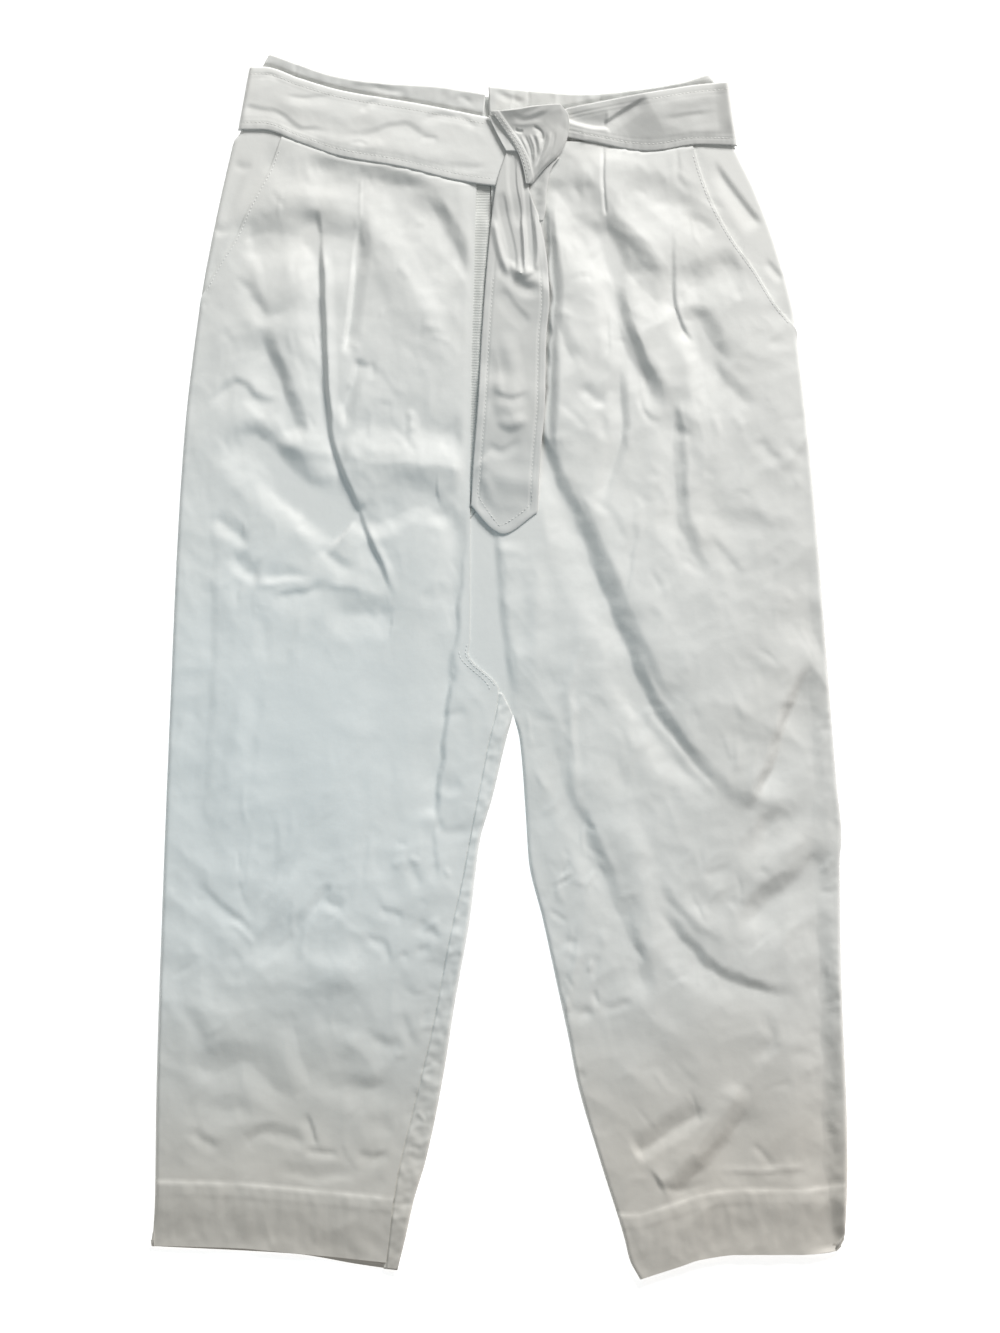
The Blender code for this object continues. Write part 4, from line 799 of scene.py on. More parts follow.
def facing_surface(front, pocket, outward):
    """Upper face of a pocket facing: close under the front at the opening, level with it further out."""

    def read(x, y):
        under = front(x, y) - WALL - FACING_GAP
        away = smooth_step(0, FACING_CLIMB, (x - pocket(y)) * outward)
        return between(under, FRONT_TOP + relief(POCKET_CREASES, x, y), away)

    return read


BACK_PLANES, BACK_CRUMPLE = [Ripple(0.9, 60, 33)], [Ripple(0.5, 26, 35)]
BACK_SUNK = 0.045           # how much of their height the floor takes
BACK_CLEARANCE = 10.0       # how far below the belt's back run the backs have come up to its height


def back_surface(x, y):
    """Under face of the backs: on the floor but for soft creases, and up over the belt's back run."""
    above_belt_edge = y - (BELT_BACK_TOP(x) - BELT_DEPTH)
    lifted = np.clip(rippled(BACK_PLANES, x, y, creased) - BACK_SUNK, 0, None)
    lifted = lifted + np.clip(rippled(BACK_CRUMPLE, x, y), 0, None)
    climb = smooth_step(-BACK_CLEARANCE - BACK_RAMP, -BACK_CLEARANCE, above_belt_edge)
    return BACK_LIFT * climb + lifted


SEAM_CLIMB = (310.0, 378.0)     # heights between which the seams rise to go over the belt's back run


def seam_height(y):
    """Height of the side seams and the folded inner edges."""
    return (FRONT_TOP + BACK_LIFT * smooth_step(*SEAM_CLIMB, y)) / 2


HEM_STEP = 1.5                  # half the stretch over which the hem's edge steps up
TURN_STEP = (-4.0, 1.0)         # stretch over which its second turn does, from the turn's lower edge
RIGHT_HEM_SHARE = 0.6           # how far the right hem falls to its edge, as a share of the left one
HEM_PLANES, HEM_CRUMPLE = [Ripple(0.7, 24, 21)], [Ripple(0.3, 8, 22)]
HEM_PULL, HEM_CRUMPLE_PULL = 0.6, 0.5       # how their creases are drawn out up and down
HEM_EDGE_REACH = 8.0            # stretch above the hem's edge over which they begin


def hem_rise(x, above):
    """Extra height of the turned-up hem and of the strip along its top."""
    turn_edge = HEM_DEPTH - HEM_TURN
    hem = smooth_step(HEM_DEPTH + HEM_STEP, HEM_DEPTH - HEM_STEP, above)
    turn = hem * smooth_step(turn_edge + TURN_STEP[0], turn_edge + TURN_STEP[1], above)
    pressed = -HEM_FALL * np.where(x > 0, RIGHT_HEM_SHARE, 1) * smooth_step(turn_edge, 0, above)
    pulled = rippled(HEM_PLANES, x, above * HEM_PULL, creased)
    pulled = (pulled + rippled(HEM_CRUMPLE, x, above * HEM_CRUMPLE_PULL)) * hem
    return HEM_LIFT * hem + TURN_LIFT * turn + pressed + pulled * smooth_step(0, HEM_EDGE_REACH, above)


def stations(step, *fixed):
    """Rows that pass through the fixed ones, no further apart than a step."""
    rows = [float(fixed[0])]
    for low in fixed[1:]:
        count = max(1, int(np.ceil((rows[-1] - low) / step)))
        rows.extend(np.linspace(rows[-1], low, count + 1)[1:])
    return np.array(rows)


def hem_stations(hem):
    """Rows that follow the steps of a turned-up hem."""
    turn_edge = HEM_DEPTH - HEM_TURN
    steps = [HEM_DEPTH + HEM_STEP, HEM_DEPTH - HEM_STEP]
    steps += [turn_edge + step for step in reversed(TURN_STEP)]
    return [hem + above for above in (*steps, 0)]


WAIST_TO_HEM = 330.0        # rows bend like the waist above this height, like the hem as far below


def row_height(x, level, lines):
    """y along a row that starts at a level, bent like the waist high up and like the hem low down."""
    waist_line, hem_line = lines
    to_waist = smooth_step(-WAIST_TO_HEM, WAIST_TO_HEM, level)
    return level + to_waist * waist_line(x) + (1 - to_waist) * hem_line(x)


def meet_edge(edge, levels, lines):
    """x where each row meets an outline."""
    x = edge(levels)
    for _ in range(ROUNDS):
        x = edge(row_height(x, levels, lines))
    return x


def joined(upper, lower, height):
    """One outline above a height and another one below it."""
    return lambda y: np.where(y > height, upper(y), lower(y))


def shifted(edge, by):
    """An outline moved across."""
    return lambda y: edge(y) + by


def folded(y):
    """An edge that is folded all the way."""
    return np.ones_like(y)


FOLD_OPENING = 14.0         # stretch over which a fold opens out


def folded_below(height):
    """An edge that is folded below a height and lies open above it."""
    return lambda y: smooth_step(height, height - FOLD_OPENING, y)


FOLD_TURN = np.linspace(0, np.pi / 2, FOLD_POINTS)


def edge_columns(fold):
    """How far in from the outline the columns of an edge lie, row by row."""
    if fold is None:
        return np.zeros((1, 1))
    inward = FOLD_IN * (1 - np.cos(FOLD_TURN))
    evenly = FOLD_IN * np.linspace(0, 1, FOLD_POINTS)
    return between(evenly, inward, fold[:, None])


def spread_columns(left, right, count, fold_left, fold_right):
    """x of each column of each row: a folded edge's own ones, and a count of equal parts between."""
    first = left[:, None] + edge_columns(fold_left)
    last = (right[:, None] - edge_columns(fold_right))[:, ::-1]
    shares = np.linspace(0, 1, count + 1)[1:-1]
    return np.hstack((first, between(first[:, -1:], last[:, :1], shares), last))


def fold_down(z, middle, fold_left, fold_right, facing):
    """Bring the folded edges of a surface round to the seam at mid-height."""
    rise = np.sin(FOLD_TURN)
    edges = ((fold_left, slice(0, FOLD_POINTS), rise), (fold_right, slice(-FOLD_POINTS, None), rise[::-1]))
    for fold, columns, shares in edges:
        if fold is not None:
            gap = SEAM / 2 + (OPENING_SEAM - SEAM) / 2 * (1 - fold[:, None])
            seam = middle[:, columns] + facing * gap
            turned = between(seam, z[:, columns], shares)
            z[:, columns] += (turned - z[:, columns]) * fold[:, None]
    return z


def with_rim(places, wall, facing):
    """Points of a sheet with a rim of its thickness round them, turned under by a few rows."""
    across, down = np.gradient(places, axis=1), -np.gradient(places, axis=0)
    normals = np.cross(across, down) * facing
    normals /= np.linalg.norm(normals, axis=2, keepdims=True) + 1e-9
    rim = ((RIM_ROWS, RIM_ROWS), (RIM_ROWS, RIM_ROWS), (0, 0))
    sheet = slice(RIM_ROWS, -RIM_ROWS)
    full, sunk = np.pad(places - normals * wall, rim, "edge"), np.pad(normals * wall, rim, "edge")
    full[sheet, sheet] = places
    turned = RIM_TURN + RIM_ROWS
    full[0], full[-1] = full[turned].copy(), full[-1 - turned].copy()
    full[:, 0], full[:, -1] = full[:, turned].copy(), full[:, -1 - turned].copy()
    full[0] -= sunk[turned]
    full[-1] -= sunk[-1 - turned]
    full[sheet, 0] -= sunk[sheet, turned]
    full[sheet, -1] -= sunk[sheet, -1 - turned]
    return full


def lay_cloth(name, x, y, z, wall, facing=1, rimmed=False):
    """A grid laid over the given points, row by row from the top, as thick as a wall."""
    places = np.stack((x, y, z), axis=-1)
    if rimmed:
        places = with_rim(places, wall, facing)
    places = places * MM
    rows, columns = places.shape[:2]
    bm = bmesh.new()
    bmesh.ops.create_grid(bm, x_segments=columns - 1, y_segments=rows - 1, size=1.0)
    if facing < 0:
        bmesh.ops.reverse_faces(bm, faces=bm.faces[:])
    mesh = bpy.data.meshes.new(name)
    bm.to_mesh(mesh)
    bm.free()
    corners = np.empty((len(mesh.vertices), 3), np.float32)
    mesh.vertices.foreach_get("co", corners.ravel())
    column = np.rint((corners[:, 0] + 1) / 2 * (columns - 1)).astype(int)
    row = np.rint((1 - corners[:, 1]) / 2 * (rows - 1)).astype(int)
    mesh.vertices.foreach_set("co", places[row, column].astype(np.float32).ravel())
    mesh.shade_smooth()
    mesh.set_sharp_from_angle(angle=math.radians(SHARP_ANGLE))
    piece = bpy.data.objects.new(name, mesh)
    bpy.context.scene.collection.objects.link(piece)
    if not rimmed:
        thickness = piece.modifiers.new("wall", "SOLIDIFY")
        thickness.thickness = wall * MM
        thickness.offset = -1.0
    return piece


def panel(name, levels, edges, lines, surface, count, folds=(None, None), facing=1, hem=None,
          rimmed=False):
    """A piece of the legs or the waistband between two outlines, facing up (1) or down (-1)."""
    left, right = (meet_edge(edge, levels, lines) for edge in edges)
    fold_left, fold_right = (
        fold and fold(row_height(x, levels, lines)) for fold, x in zip(folds, (left, right)))
    x = spread_columns(left, right, count, fold_left, fold_right)
    y = row_height(x, levels[:, None], lines)
    z = surface(x, y)
    if hem is not None:
        z = z + hem_rise(x, levels[:, None] - hem)
    z = fold_down(z, seam_height(y), fold_left, fold_right, facing)
    return lay_cloth(name, x, y, z, WALL, facing, rimmed)


LEFT_LINES = (LEFT_WAIST_LINE, LEFT_HEM_LINE)
RIGHT_LINES = (RIGHT_WAIST_LINE, RIGHT_HEM_LINE)
BELOW_BAND = BAND_DEPTH + BAND_SEAM     # how far below the waist the legs begin


def make_fronts():
    """The leg panels on top, from under the waistband to the hems."""
    left = panel(
        "front_panel_left",
        stations(ROW, LEFT_WAIST - BELOW_BAND, *hem_stations(LEFT_HEM)),
        (joined(LEFT_POCKET, LEFT_SIDE, LEFT_POCKET_FOOT), shifted(LEFT_CENTRE, -SEAM / 2)),
        LEFT_LINES, left_surface, COLUMNS, (folded_below(LEFT_POCKET_FOOT), None), hem=LEFT_HEM,
        rimmed=True)
    right = panel(
        "front_panel_right",
        stations(ROW, RIGHT_WAIST - BELOW_BAND, CROTCH, *hem_stations(RIGHT_HEM)),
        (joined(RIGHT_CENTRE, RIGHT_INNER, CROTCH), joined(RIGHT_POCKET, RIGHT_SIDE, RIGHT_POCKET_FOOT)),
        RIGHT_LINES, right_surface, COLUMNS, (folded_below(CROTCH), folded_below(RIGHT_POCKET_FOOT)),
        hem=RIGHT_HEM, rimmed=True)
    return left, right


def make_facings():
    """The hip pieces that show behind the pocket openings."""
    left = panel(
        "hip_piece_left", stations(FACING_ROW, LEFT_WAIST - BELOW_BAND, LEFT_FACING_FOOT),
        (LEFT_SIDE, shifted(LEFT_POCKET, UNDERLAP)), LEFT_LINES,
        facing_surface(left_surface, LEFT_POCKET, -1), FACING_COLUMNS, (folded, None))
    right = panel(
        "hip_piece_right", stations(FACING_ROW, RIGHT_WAIST - BELOW_BAND, RIGHT_FACING_FOOT),
        (shifted(RIGHT_POCKET, -UNDERLAP), RIGHT_SIDE), RIGHT_LINES,
        facing_surface(right_surface, RIGHT_POCKET, 1), FACING_COLUMNS, (None, folded))
    return left, right


def make_backs():
    """The leg panels below, and the strip of the left one that comes round onto the top."""
    left_lines = (BACK_WAIST_LINE, LEFT_BACK_HEM_LINE)
    right_lines = (BACK_WAIST_LINE, RIGHT_HEM_LINE)
    top = BACK_WAIST - BELOW_BAND
    left = panel(
        "back_panel_left", stations(BACK_ROW, top, CROTCH, LEFT_BACK_HEM + HEM_DEPTH, LEFT_BACK_HEM),
        (LEFT_SIDE, joined(shifted(CENTRE_BACK, -SEAM / 2), LEFT_INNER, CROTCH)),
        left_lines, back_surface, BACK_COLUMNS, (folded, folded_below(CROTCH)), facing=-1)
    right = panel(
        "back_panel_right", stations(BACK_ROW, top, CROTCH, RIGHT_BACK_HEM + HEM_DEPTH, RIGHT_BACK_HEM),
        (joined(shifted(CENTRE_BACK, SEAM / 2), RIGHT_INNER, CROTCH), RIGHT_SIDE),
        right_lines, back_surface, BACK_COLUMNS, (folded_below(CROTCH), folded), facing=-1)
    wrap = panel(
        "back_panel_left_inseam",
        stations(NARROW_ROW, WRAP_TOP, CROTCH, *hem_stations(LEFT_BACK_HEM)),
        (shifted(LEFT_CENTRE, -WRAP_TUCK), joined(WRAP_HEAD, LEFT_INNER, CROTCH)),
        LEFT_LINES, wrap_surface, WRAP_COLUMNS, (None, folded_below(CROTCH)), hem=LEFT_BACK_HEM)
    return left, right, wrap


def make_waistband():
    """The waistband's two front halves and its back."""
    left = panel(
        "waistband_left", stations(NARROW_ROW, LEFT_WAIST, LEFT_WAIST - BAND_DEPTH),
        (LEFT_SIDE, LEFT_CENTRE), LEFT_LINES, band_surface, BAND_COLUMNS, (folded, None))
    right = panel(
        "waistband_right", stations(NARROW_ROW, RIGHT_WAIST, RIGHT_WAIST - BAND_DEPTH),
        (RIGHT_CENTRE, RIGHT_SIDE), RIGHT_LINES, band_surface, BAND_COLUMNS, (None, folded))
    back = panel(
        "waistband_behind", stations(BACK_BAND_ROW, BACK_WAIST, BACK_WAIST - BAND_DEPTH),
        (LEFT_SIDE, RIGHT_SIDE), (BACK_WAIST_LINE, LEFT_HEM_LINE), back_surface, BACK_BAND_COLUMNS,
        (folded, folded), facing=-1)
    return left, right, back


ZIP_LIFT = 0.2              # how far the tape's ends stand over what lies under the fronts
ZIP_STEP = (0.1, 0.7)       # shares of its width between which it rises from its edge to its strip
ZIP_CRUMPLE = [Ripple(0.2, 9, 31)]


def make_fly():
    """The zip's tape, which shows beside the fly's edge."""
    y = stations(NARROW_ROW, ZIP_TOP, ZIP_FOOT)
    left = LEFT_CENTRE(y) - ZIP_OVERLAP
    right = RIGHT_CENTRE(y) - LAYER_GAP
    x = spread_columns(left, right, NARROW_COLUMNS, None, None)
    y = y[:, None] + np.zeros_like(x)
    shown = smooth_step(*FLY_DIP_FOOT, y) * smooth_step(*FLY_DIP_HEAD, y)
    across = (x - left[:, None]) / (right - left)[:, None]
    strip_top = between(ZIP_EDGE_TOP, ZIP_STRIP_TOP, smooth_step(*ZIP_STEP, across))
    z = UNDER_FRONT_TOP + ZIP_LIFT + (strip_top - UNDER_FRONT_TOP) * shown
    return lay_cloth("fly_tape", x, y, z + rippled(ZIP_CRUMPLE, x, y), WALL)


# How a strap lies down towards its edges and is rounded there, and the grooves along them: its
# stitching and a soft dent on either side, each so far in from the edge and so deep
EDGE_FALL, EDGE_REACH = 0.3, 2.5
EDGE_ROUND, EDGE_ROUND_REACH = 0.25, 0.8
Groove = namedtuple("Groove", "inward depth")
GROOVES = [Groove(2.4, 0.12), Groove(EDGE_STITCH, 0.2), Groove(8.6, 0.12)]
GROOVE_WIDTH = 0.7


def strap_edges(inward):
    """Height that a strap loses near its long edges, by distance from the edge."""
    rounding = EDGE_ROUND * np.clip(1 - inward / EDGE_ROUND_REACH, 0, 1) ** 2
    edge = -EDGE_FALL * smooth_step(EDGE_REACH, 0, inward) - rounding
    for groove in GROOVES:
        edge = edge - groove.depth * np.exp(-((inward - groove.inward) / GROOVE_WIDTH) ** 2)
    return edge


BELT_PARTING = BELT_LEFT_REACH + 8      # between the left and the right front run
KNOT_COVER = ((-6.0, -20.0), (46.0, 56.0))      # stretches over which folds come out from under the knot
BELT_BEND_X, BELT_BEND_Y = [Ripple(1.2, 14, 46)], [Ripple(1.2, 14, 47)]
BELT_FOLD_SHARE = 0.6
BELT_PLANES = [Ripple(0.4, 30, 12), Ripple(0.12, 11, 13)]
# Puckers along the belt's lower edge, how much closer and how much longer they lie, and their reach
PUCKERS, PUCKER_ACROSS, PUCKER_ALONG, PUCKER_REACH = [Ripple(0.2, 5, 14)], 1.6, 0.4, (14.0, 3.0)
BELT_MIDDLE_TOP = BELT_TOP + 0.3
BELT_EDGE_REACH = 14.0
BELT_LOWEST, BELT_EASE = LYING_STRAP_TOP - 0.4, 0.3


def belt_surface(x, y):
    """Upper face of the belt's front runs, smooth where they go under the knot."""
    left = x < BELT_PARTING
    top = np.where(left, BELT_LEFT_TOP(x), BELT_RIGHT_TOP(x))
    low = np.where(left, BELT_LEFT_LOW(x), BELT_RIGHT_LOW(x))
    beside_knot = np.maximum(*(smooth_step(*cover, x) for cover in KNOT_COVER))
    bent_x, bent_y = x + rippled(BELT_BEND_X, x, y), y + rippled(BELT_BEND_Y, x, y)
    folds = BELT_FOLD_SHARE * relief(BELT_CREASES, bent_x, bent_y) + relief(TWIST_CREASES, x, y)
    folds = folds + rippled(BELT_PLANES, x, y, creased)
    puckers = rippled(PUCKERS, x * PUCKER_ACROSS, y * PUCKER_ALONG) * smooth_step(*PUCKER_REACH, y - low)
    height = BELT_MIDDLE_TOP + (folds + puckers) * beside_knot
    height = height + np.where(left, 0, BELT_LEAN * (y - low)) * beside_knot
    height = height - BELT_EDGE_FALL * smooth_step(BELT_EDGE_REACH, 0, y - low) * beside_knot
    return ease_floor(height, BELT_LOWEST, BELT_EASE) + strap_edges(np.minimum(top - y, y - low))


def belt_run(name, top, low, left, right, count, folds, facing=1):
    """A run of the belt between its top and low edges, folded at the garment's sides."""
    shares = np.linspace(0, 1, BELT_ROWS if facing > 0 else BACK_BELT_ROWS)
    ends = []
    for edge in (left, right):
        x = edge(np.zeros_like(shares))
        for _ in range(ROUNDS):
            x = edge(between(top(x), low(x), shares))
        ends.append(x)
    fold_left, fold_right = (fold and fold(shares) for fold in folds)
    x = spread_columns(*ends, count, fold_left, fold_right)
    y = between(top(x), low(x), shares[:, None])
    z = belt_surface(x, y) if facing > 0 else np.zeros_like(x)
    z = fold_down(z, np.full_like(x, BELT_TOP / 2), fold_left, fold_right, facing)
    return lay_cloth(name, x, y, z, STRAP_WALL, facing)


def make_belt():
    """The belt's two front runs, which end under the knot, and its back run."""
    left = belt_run("tie_belt_left", BELT_LEFT_TOP, BELT_LEFT_LOW, BELT_LEFT_FOLD,
                    lambda y: np.full_like(y, BELT_LEFT_REACH), BELT_LEFT_COLUMNS, (folded, None))
    right = belt_run("tie_belt_right", BELT_RIGHT_TOP, BELT_RIGHT_LOW,
                     lambda y: np.full_like(y, BELT_RIGHT_REACH), BELT_RIGHT_FOLD, BELT_RIGHT_COLUMNS,
                     (None, folded))
    back = belt_run("tie_belt_behind", BELT_BACK_TOP, lambda x: BELT_BACK_TOP(x) - BELT_DEPTH,
                    BELT_LEFT_FOLD, BELT_RIGHT_FOLD, BACK_BELT_COLUMNS, (folded, folded), facing=-1)
    return left, right, back


END_POINT_SLANT = 0.8           # the point's edge runs aslant, so less of its y distance counts
END_FLAT = (330.0, 290.0)       # heights between which the gathers give way to the stitched strap
END_ROUND, END_ROUND_REACH = 0.4, 1.5
END_GROOVE = Groove(END_STITCH, 0.5)
END_GROOVE_WIDTH = 0.9
END_CRUMPLE = [Ripple(0.3, 14, 17)]
END_RAISED, END_FOOT_FALL, END_FOOT_REACH = 0.3, 0.6, (170.0, 125.0)
END_FOLD_SHARE, END_LOWEST, END_EASE = 1.35, -0.8, 0.3


def end_surface(x, y):
    """Upper face of the belt's long end, gathered where it leaves the knot."""
    lying = between(LYING_STRAP_TOP, OVER_BELT_TOP, smooth_step(*END_CLIMB, y))
    beside = np.minimum(x - END_LEFT(y), END_RIGHT(y) - x)
    inward = np.minimum(beside, (y - END_POINT(x)) * END_POINT_SLANT)
    flat = smooth_step(*END_FLAT, y)
    edge = -END_ROUND * np.clip(1 - inward / END_ROUND_REACH, 0, 1) ** 2
    groove = -END_GROOVE.depth * np.exp(-((inward - END_GROOVE.inward) / END_GROOVE_WIDTH) ** 2) * flat
    soft = rippled(END_CRUMPLE, x, y) * flat
    lying = lying + END_RAISED - END_FOOT_FALL * smooth_step(*END_FOOT_REACH, y)
    gathers = ease_floor(END_FOLD_SHARE * relief(END_CREASES, x, y) + soft, END_LOWEST, END_EASE)
    return lying + gathers + edge + groove


END_POINTED = (0.9, 1.0)        # shares of the long end's way down between which it takes its point
SHORT_SLANT = 0.15              # how the short end's left edge runs aslant above the knot's foot
# How low the short end lies, and how it rises within a distance of its right edge
SHORT_TOP, SHORT_RISE, SHORT_RISE_REACH = LYING_STRAP_TOP - 1.2, 2.2, (9.0, 1.0)
SHORT_CRUMPLE = [Ripple(0.3, 6, 19)]


def make_ends():
    """The belt's long hanging end and the sliver of its short one."""
    down = np.linspace(0, 1, END_ROWS)[:, None]
    across = np.linspace(0, 1, END_COLUMNS)
    left_y = between(END_LEFT_HEAD, END_LEFT_FOOT, down)
    right_y = between(END_RIGHT_HEAD, END_RIGHT_FOOT, down)
    x = between(END_LEFT(left_y), END_RIGHT(right_y), across)
    y = between(left_y, right_y, across)
    y = between(y, END_POINT(x), smooth_step(*END_POINTED, down))
    long_end = lay_cloth("tie_belt_end", x, y, end_surface(x, y), STRAP_WALL)

    y = stations(NARROW_ROW, SHORT_HEAD, SHORT_FOOT)
    left = END_RIGHT(y) + SHORT_GAP + SHORT_SLANT * np.maximum(y - KNOT_FOOT, 0)
    x = spread_columns(left, SHORT_RIGHT(y), NARROW_COLUMNS, None, None)
    y = y[:, None] + np.zeros_like(x)
    z = SHORT_TOP + SHORT_RISE * smooth_step(*SHORT_RISE_REACH, SHORT_RIGHT(y) - x)
    short_end = lay_cloth("tie_belt_end_behind", x, y, z + rippled(SHORT_CRUMPLE, x, y), STRAP_WALL)
    return long_end, short_end


KNOT_CREST = curve(Edge, [(430, 50), (410, 40.5), (400, 35.5), (390, 30), (380, 24.5), (KNOT_FOOT, 21.5)])
KNOT_HEAD = 430.0
# The stitched edge that lies across the knot: its width, how soft its step is and how high it lies
KNOT_BAND, KNOT_BAND_STEP, KNOT_BAND_RISE = 6.5, 0.8, 0.6
KNOT_EDGE_REACH = 3.0               # stretch over which folds and the band begin at the knot's edges
# How high the knot's upper face is, along its head from left to right and on its crest, band and foot
KNOT_LEFT_TOP, KNOT_HEAD_TOP = 13.0, 18.6
KNOT_CREST_TOP, KNOT_BAND_TOP, KNOT_FOOT_TOP = 17.0, 13.4, 11.9
KNOT_HEAD_CLIMB, KNOT_HEAD_END, KNOT_END_FALL = (-8.0, 12.0), (46.0, 56.0), 2.0
KNOT_HEAD_REACH = 17.0              # how far below its head the knot still stands high
KNOT_CLIMB = (0.1, 1.0)             # shares of the way from its edge to its crest between which it rises
# How deep its hollow is, and how far its right flank and that flank's edge fall
KNOT_HOLLOW, KNOT_FLANK, KNOT_EDGE_FALL = 0.9, 2.4, 0.8
KNOT_STEEPNESS = 1.5                # power by which its flank and its head fall away
KNOT_FOLD_SHARE, KNOT_PLANES = 0.65, [Ripple(0.3, 12, 23)]


def knot_surface(x, y):
    """Upper face of the knot's wrap: a high head, a hollow, a crest and a steep right flank."""
    height = np.clip((y - KNOT_FOOT) / (KNOT_HEAD - KNOT_FOOT), 0, 1)
    edge, crest, right = KNOT_EDGE(y), KNOT_CREST(y), KNOT_RIGHT(y)
    band_top = between(KNOT_FOOT_TOP, KNOT_BAND_TOP, height)
    crest_top = between(KNOT_FOOT_TOP, KNOT_CREST_TOP, height)
    share = np.clip((x - edge) / (crest - edge), 0, 1)
    body = between(band_top, crest_top, smooth_step(*KNOT_CLIMB, share))
    beyond = np.clip((x - crest) / np.maximum(right - crest, 1), 0, 1)
    body = body - KNOT_HOLLOW * height * np.sin(np.pi * share) ** 2 - KNOT_FLANK * beyond ** KNOT_STEEPNESS
    body = body - KNOT_EDGE_FALL * smooth_step(KNOT_EDGE_REACH, 0, right - x)
    head_top = between(KNOT_LEFT_TOP, KNOT_HEAD_TOP, smooth_step(*KNOT_HEAD_CLIMB, x))
    head_top = head_top - KNOT_END_FALL * smooth_step(*KNOT_HEAD_END, x)
    near_head = np.clip(1 - (KNOT_HEAD_LINE(x) - y) / KNOT_HEAD_REACH, 0, 1) ** KNOT_STEEPNESS
    body = between(body, head_top, near_head)
    on_band = smooth_step(KNOT_BAND + KNOT_BAND_STEP, KNOT_BAND - KNOT_BAND_STEP, x - edge)
    body = body + KNOT_BAND_RISE * on_band * smooth_step(0, KNOT_EDGE_REACH, x - edge)
    inside = smooth_step(KNOT_BAND, KNOT_BAND + KNOT_EDGE_REACH, x - edge)
    inside = inside * smooth_step(0, KNOT_EDGE_REACH, right - x)
    folds = KNOT_FOLD_SHARE * relief(KNOT_CREASES, x, y) + rippled(KNOT_PLANES, x, y, creased)
    return body + folds * inside


KNOT_ROWS_FROM = 427.0              # height whose width the search for the knot's outline starts with
KNOT_SIDE_HEAD, KNOT_SIDE_FOOT, KNOT_SIDE_UNDER = 424.0, 396.5, 5.0
KNOT_SIDE_TOP, KNOT_SIDE_RISE, KNOT_SIDE_CRUMPLE = 11.4, 0.6, [Ripple(0.2, 6, 27)]


def make_knot():
    """The knot's wrap, and the strap's turn that shows on its left."""
    down = np.linspace(0, 1, KNOT_ROWS)[:, None]
    across = np.linspace(0, 1, KNOT_COLUMNS)
    x = between(KNOT_EDGE(KNOT_ROWS_FROM), KNOT_RIGHT(KNOT_ROWS_FROM), across) + 0 * down
    for _ in range(ROUNDS):
        y = between(KNOT_HEAD_LINE(x), KNOT_FOOT, down)
        x = between(KNOT_EDGE(y), KNOT_RIGHT(y), across)
    wrap = lay_cloth("tie_belt_knot", x, y, knot_surface(x, y), STRAP_WALL)

    across = np.linspace(0, 1, KNOT_SIDE_COLUMNS)
    y = stations(KNOT_SIDE_ROW, KNOT_SIDE_HEAD, KNOT_SIDE_FOOT)[:, None] + 0 * across
    x = between(KNOT_SIDE_LEFT(y), KNOT_EDGE(y) + KNOT_SIDE_UNDER, across)
    z = KNOT_SIDE_TOP + KNOT_SIDE_RISE * smooth_step(0, 1, across) + rippled(KNOT_SIDE_CRUMPLE, x, y)
    side = lay_cloth("tie_belt_knot_side", x, y, z, STRAP_WALL)
    return wrap, side


def sew(bm, path, surface):
    """A row of stitches along a path, on a surface."""
    route = smooth_route(path, STITCH_ROUTE_STEPS)
    lengths = np.hypot(*np.diff(route, axis=0).T)
    along = np.concatenate(([0], np.cumsum(lengths)))
    places = np.arange(STITCH_PITCH / 2, along[-1], STITCH_PITCH)
    x, y = (np.interp(places, along, route[:, i]) for i in (0, 1))
    ahead_x, ahead_y = (np.interp(places + STITCH_WIDTH, along, route[:, i]) for i in (0, 1))
    z, ahead_z = surface(x, y), surface(ahead_x, ahead_y)
    size = (STITCH_LENGTH / 2, STITCH_WIDTH / 2, STITCH_WIDTH * STITCH_FLATNESS, 1)
    for start, ahead in zip(zip(x, y, z), zip(ahead_x, ahead_y, ahead_z)):
        way = Vector(ahead) - Vector(start)
        if way.length < SHORTEST_WAY:
            continue
        turn = way.to_track_quat("X", "Z").to_matrix().to_4x4()
        place = Matrix.Translation(Vector(start) + Vector((0, 0, STITCH_LIFT)))
        matrix = place @ turn @ Matrix.Diagonal(size)
        bmesh.ops.create_icosphere(bm, subdivisions=1, radius=1.0, matrix=matrix)


def along_x(line, start, end, by, count=STITCH_POINTS):
    """Points of a line from one x to another, moved up or down."""
    x = np.linspace(start, end, count)
    return np.stack((x, line(x) + by), 1)


def along_y(edge, start, end, by, count=STITCH_POINTS):
    """Points of an outline from one y to another, moved across."""
    y = np.linspace(start, end, count)
    return np.stack((edge(y) + by, y), 1)


def stitched(name, rows):
    """A piece of rows of stitches, each with its path and the surface it lies on."""
    bm = bmesh.new()
    for path, surface in rows:
        sew(bm, path, surface)
    bmesh.ops.transform(bm, matrix=Matrix.Scale(MM, 4), verts=bm.verts[:])
    mesh = bpy.data.meshes.new(name)
    bm.to_mesh(mesh)
    bm.free()
    mesh.shade_smooth()
    piece = bpy.data.objects.new(name, mesh)
    bpy.context.scene.collection.objects.link(piece)
    return piece


